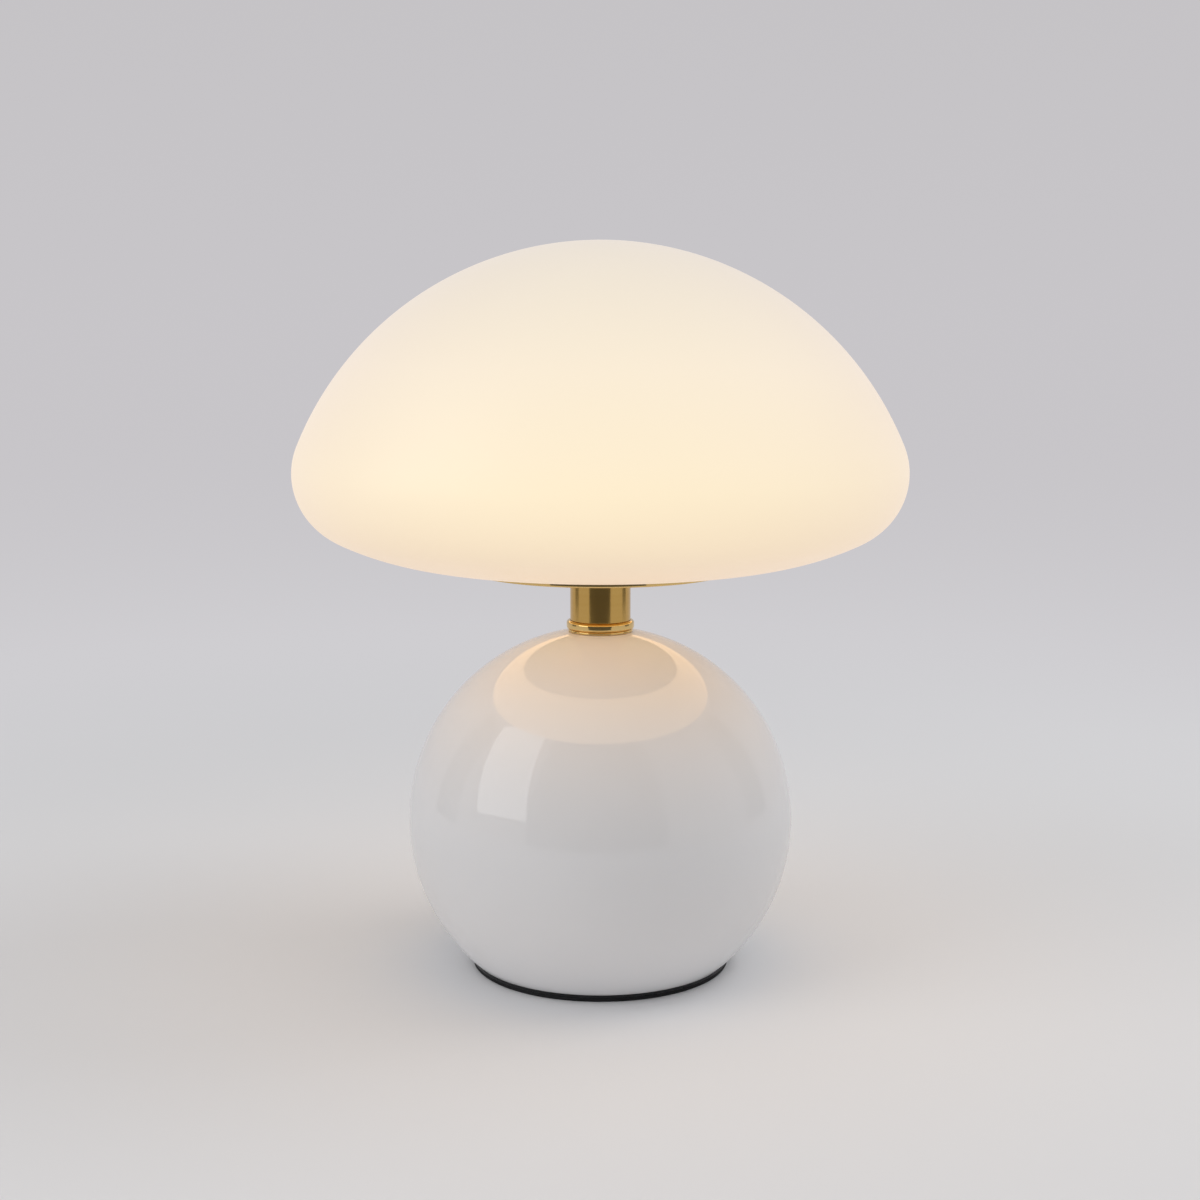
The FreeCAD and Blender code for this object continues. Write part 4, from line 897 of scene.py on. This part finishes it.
innerDome = {
    "wall": 2.0 * mm,
    "radius": 32.0 * mm,
    "footHeight": 2.0 * mm,
    "footEdge": 0.4 * mm,
    "straight": 15.0 * mm,
    "domeSteps": 32,
    "sides": 128,
}
gasket = {
    "width": 2.2 * mm,
    "edge": 0.1 * mm,
    "sides": 192,
}
frostedLook = {
    "settings": {"Emission Color": (1.0, 0.86, 0.62, 1), "Emission Strength": 0.55},
    "colours": ((0.60, 0.58, 0.54), (0.64, 0.62, 0.58)), "roughness": (0.42, 0.52),
    "grainScale": 3000.0, "grain": 0.02,
}
siliconeLook = {"colours": ((0.68, 0.67, 0.64), (0.74, 0.73, 0.70)), "roughness": (0.45, 0.60)}


def makeDiffuserDome():
    low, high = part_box("diffuser_dome")
    outer, wall = innerDome["radius"], innerDome["wall"]
    footTop, steps = low.z + innerDome["footHeight"], innerDome["domeSteps"]
    domeStart = footTop + innerDome["straight"]
    outline = roundedOutline([
        (outer - wall, low.z, 0), (high.x, low.z, innerDome["footEdge"]), (high.x, footTop, innerDome["footEdge"]),
        (outer, footTop, 0)], 4)
    outline += arcPoints((0, domeStart), outer, 0, 90, steps)
    outline += arcPoints((0, domeStart), outer - wall, 90, 0, steps)
    outline = [(max(across, 0), up) for across, up in outline]
    piece = turnOutline("diffuserDome", outline, innerDome["sides"])
    place(piece, "base", "frosted_dome", plainFinish("frostedDome", frostedLook), "diffuser_dome")


def makeShadeGasket():
    low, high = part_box("shade_gasket")
    inner, edge = high.x - gasket["width"], gasket["edge"]
    piece = turnOutline("shadeGasket", roundedOutline([
        (inner, low.z, 0), (high.x, low.z, 0), (high.x, high.z, edge), (inner, high.z, edge)], 3), gasket["sides"])
    place(piece, "base", "clear_silicone", plainFinish("clearSilicone", siliconeLook), "shade_gasket")


makeDiffuserDome()
makeShadeGasket()
print("inner dome and gasket")


# push button on the back

pushButton = {
    "flangeHeight": 1.6 * mm,
    "flangeEdge": 0.5 * mm,
    "boreEdge": 0.25 * mm,
    "barrelRadius": 8.0 * mm,
    "frontBore": 5.6 * mm,
    "backBore": 6.9 * mm,
    "backHole": 4.7 * mm,
    "lip": 3.8 * mm,
    "backWall": 1.1 * mm,
    "capRadius": 5.4 * mm,
    "capEdge": 0.5 * mm,
    "capFootHeight": 1.4 * mm,
    "well": 3.0 * mm,
    "wellRadius": 4.1 * mm,
    "pinRadius": 1.2 * mm,
    "dishRadius": 4.2 * mm,
    "dishDepth": 0.35 * mm,
    "dishSteps": 8,
    "slideGap": 0.3 * mm,
    "sides": 96,
}
satinBrassLook = {"settings": metal, "colours": ((0.72, 0.50, 0.20), (0.78, 0.56, 0.25)),
                  "roughness": (0.16, 0.24), "cloudScale": 80.0, "grain": 0.004}


def makeButton(finish):
    low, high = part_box("button_ring")
    middle = (0, 0, (low.z + high.z) / 2)
    front, seat = high.y, high.y - pushButton["flangeHeight"]
    lipBack, edge = front - pushButton["lip"], pushButton["flangeEdge"]
    ring = turnOutline("buttonRing", roundedOutline([
        (pushButton["backHole"], low.y, 0), (pushButton["barrelRadius"], low.y, 0),
        (pushButton["barrelRadius"], seat, 0), (high.x, seat, 0), (high.x, front, edge),
        (pushButton["frontBore"], front, pushButton["boreEdge"]),
        (pushButton["frontBore"], lipBack, 0), (pushButton["backBore"], lipBack, 0),
        (pushButton["backBore"], low.y + pushButton["backWall"], 0),
        (pushButton["backHole"], low.y + pushButton["backWall"], 0)], 6),
        pushButton["sides"], centre=middle, axis=(0, 1, 0))
    place(ring, "base", "polished_brass", finish, "button_ring")
    capLow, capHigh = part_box("button_cap")
    footFront = lipBack - pushButton["slideGap"]
    footBack = footFront - pushButton["capFootHeight"]
    wellFloor, dish = footBack + pushButton["well"], pushButton["dishRadius"]
    outline = roundedOutline([
        (0, capLow.y, 0), (pushButton["pinRadius"], capLow.y, 0), (pushButton["pinRadius"], wellFloor, 0),
        (pushButton["wellRadius"], wellFloor, 0), (pushButton["wellRadius"], footBack, 0), (capHigh.x, footBack, 0),
        (capHigh.x, footFront, 0), (pushButton["capRadius"], footFront, 0),
        (pushButton["capRadius"], capHigh.y, pushButton["capEdge"]), (dish, capHigh.y, 0)], 5)
    # shallow dish for the fingertip
    for across, up in arcPoints((0, 0), 1, 0, 90, pushButton["dishSteps"])[1:]:
        outline.append((dish * across, capHigh.y - pushButton["dishDepth"] * (1 - across ** 2)))
    outline[-1] = (0, outline[-1][1])
    cap = turnOutline("buttonCap", outline, pushButton["sides"], closed=False, centre=middle, axis=(0, 1, 0))
    place(cap, "button", "polished_brass", finish, "button_cap")


makeButton(plainFinish("satinBrass", satinBrassLook))
print("push button")


# plain finishes of the CAD nodes that keep their own shape

steelLooks = {
    "zincSteel": {"settings": metal, "colours": ((0.56, 0.56, 0.55), (0.64, 0.65, 0.66)),
                  "roughness": (0.28, 0.42), "cloudScale": 120.0},
    "socketSteel": {"settings": metal, "colours": ((0.60, 0.60, 0.61), (0.68, 0.68, 0.69)),
                    "roughness": (0.20, 0.30), "cloudScale": 200.0},
    "nickelStrip": {"settings": metal, "colours": ((0.62, 0.60, 0.56), (0.70, 0.68, 0.64)),
                    "roughness": (0.22, 0.34), "cloudScale": 90.0},
    "castIron": {"settings": {"Metallic": 0.6}, "colours": ((0.10, 0.10, 0.11), (0.17, 0.17, 0.18)),
                 "roughness": (0.55, 0.75), "cloudScale": 45.0, "grainScale": 700.0, "grain": 0.15},
}
plasticLooks = {
    "whiteBoard": {"colours": ((0.80, 0.81, 0.80), (0.86, 0.87, 0.86)), "roughness": (0.30, 0.42)},
    "greenBoard": {"colours": ((0.02, 0.12, 0.05), (0.04, 0.18, 0.08)), "roughness": (0.32, 0.45), "cloudScale": 90.0},
    "phosphor": {"settings": {"Emission Color": (1.0, 0.80, 0.45, 1), "Emission Strength": 1.0},
                 "colours": ((0.85, 0.66, 0.24), (0.90, 0.72, 0.30)), "roughness": (0.35, 0.45)},
    "blackMoulding": {"colours": ((0.020, 0.020, 0.021), (0.030, 0.030, 0.031)), "roughness": (0.36, 0.48),
                      "grainScale": 2400.0, "grain": 0.03},
    "cellWrap": {"colours": ((0.03, 0.12, 0.36), (0.04, 0.16, 0.44)), "roughness": (0.22, 0.30), "cloudScale": 50.0},
    "wireRed": {"colours": ((0.30, 0.015, 0.012), (0.38, 0.02, 0.018)), "roughness": (0.35, 0.45)},
}
aluminiumLook = {"settings": metal, "colours": ((0.70, 0.70, 0.71), (0.78, 0.78, 0.79)),
                 "roughness": (0.24, 0.34), "pitch": 4000.0, "depth": 0.004}

finishes = {name: plainFinish(name, look) for name, look in {**steelLooks, **plasticLooks}.items()}
finishes["turnedAluminium"] = turnedFinish("turnedAluminium", aluminiumLook)

nodeFinishes = {
    "zincSteel": ["rod_nut_bottom", "rod_washer_bottom", "ballast_nut", "threaded_rod", "rod_washer_top", "rod_nut_top",
                  "led_screws", "ring_screws", "tray_screws", "board_screws", "button_nut"],
    "socketSteel": ["usb_socket"],
    "nickelStrip": ["battery_strips"],
    "castIron": ["ballast_disc"],
    "whiteBoard": ["led_board"],
    "greenBoard": ["driver_board", "usb_board"],
    "phosphor": ["led_chips"],
    "blackMoulding": ["battery_tray", "driver_components", "switch_module", "port_bezel", "usb_tongue"],
    "cellWrap": ["battery_cells"],
    "wireRed": ["led_leads", "switch_leads", "usb_leads"],
    "turnedAluminium": ["led_carrier", "dome_ring"],
}


def dressNodes():
    for finish, names in nodeFinishes.items():
        for name in names:
            nodes[name].data.materials.clear()
            nodes[name].data.materials.append(finishes[finish])


dressNodes()
print("carried-over nodes dressed:", sum(len(names) for names in nodeFinishes.values()))


# spring behind the button's cap

coilSpring = {
    "wire": 0.5 * mm,         # thickness
    "wireSteps": 3,
    "turns": 4,
    "closedTurns": 0.75,      # at each end, wound against the next one
    "stepsPerTurn": 40,
    "travel": 1.2 * mm,       # what a full press of the button takes off its length
}


def makeButtonSpring():
    low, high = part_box("button_spring")
    wire = coilSpring["wire"]
    middle, radius = (low.z + high.z) / 2, high.x - wire / 2
    start, length = low.y + wire / 2, high.y - low.y - wire
    turns, closed = coilSpring["turns"], coilSpring["closedTurns"]
    steps = round((turns + 2 * closed) * coilSpring["stepsPerTurn"])
    data = bpy.data.curves.new("buttonSpring", "CURVE")
    data.dimensions = "3D"
    data.bevel_depth = wire / 2
    data.bevel_resolution = coilSpring["wireSteps"]
    data.use_fill_caps = True
    line = data.splines.new("POLY")
    line.points.add(steps)
    for count, point in enumerate(line.points):
        turn = count / coilSpring["stepsPerTurn"]
        angle = 2 * math.pi * turn
        # the end turns rise by one wire a turn, the open ones share the rest
        endRise = wire * (min(turn, closed) + max(0, turn - closed - turns))
        share = min(max((turn - closed) / turns, 0), 1)
        rise = endRise + (length - 2 * closed * wire) * share
        point.co = (radius * math.cos(angle), start + rise, middle + radius * math.sin(angle), 1)
    piece = bpy.data.objects.new("buttonSpring", data)
    bpy.context.scene.collection.objects.link(piece)
    activate(piece)
    bpy.ops.object.convert(target="MESH")
    piece = bpy.context.object
    smooth(piece)
    place(piece, "base", "zinc_steel", finishes["zincSteel"], "button_spring")
    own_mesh(piece)


makeButtonSpring()
print("button spring")

bpy.context.scene.view_settings.view_transform = "Standard"
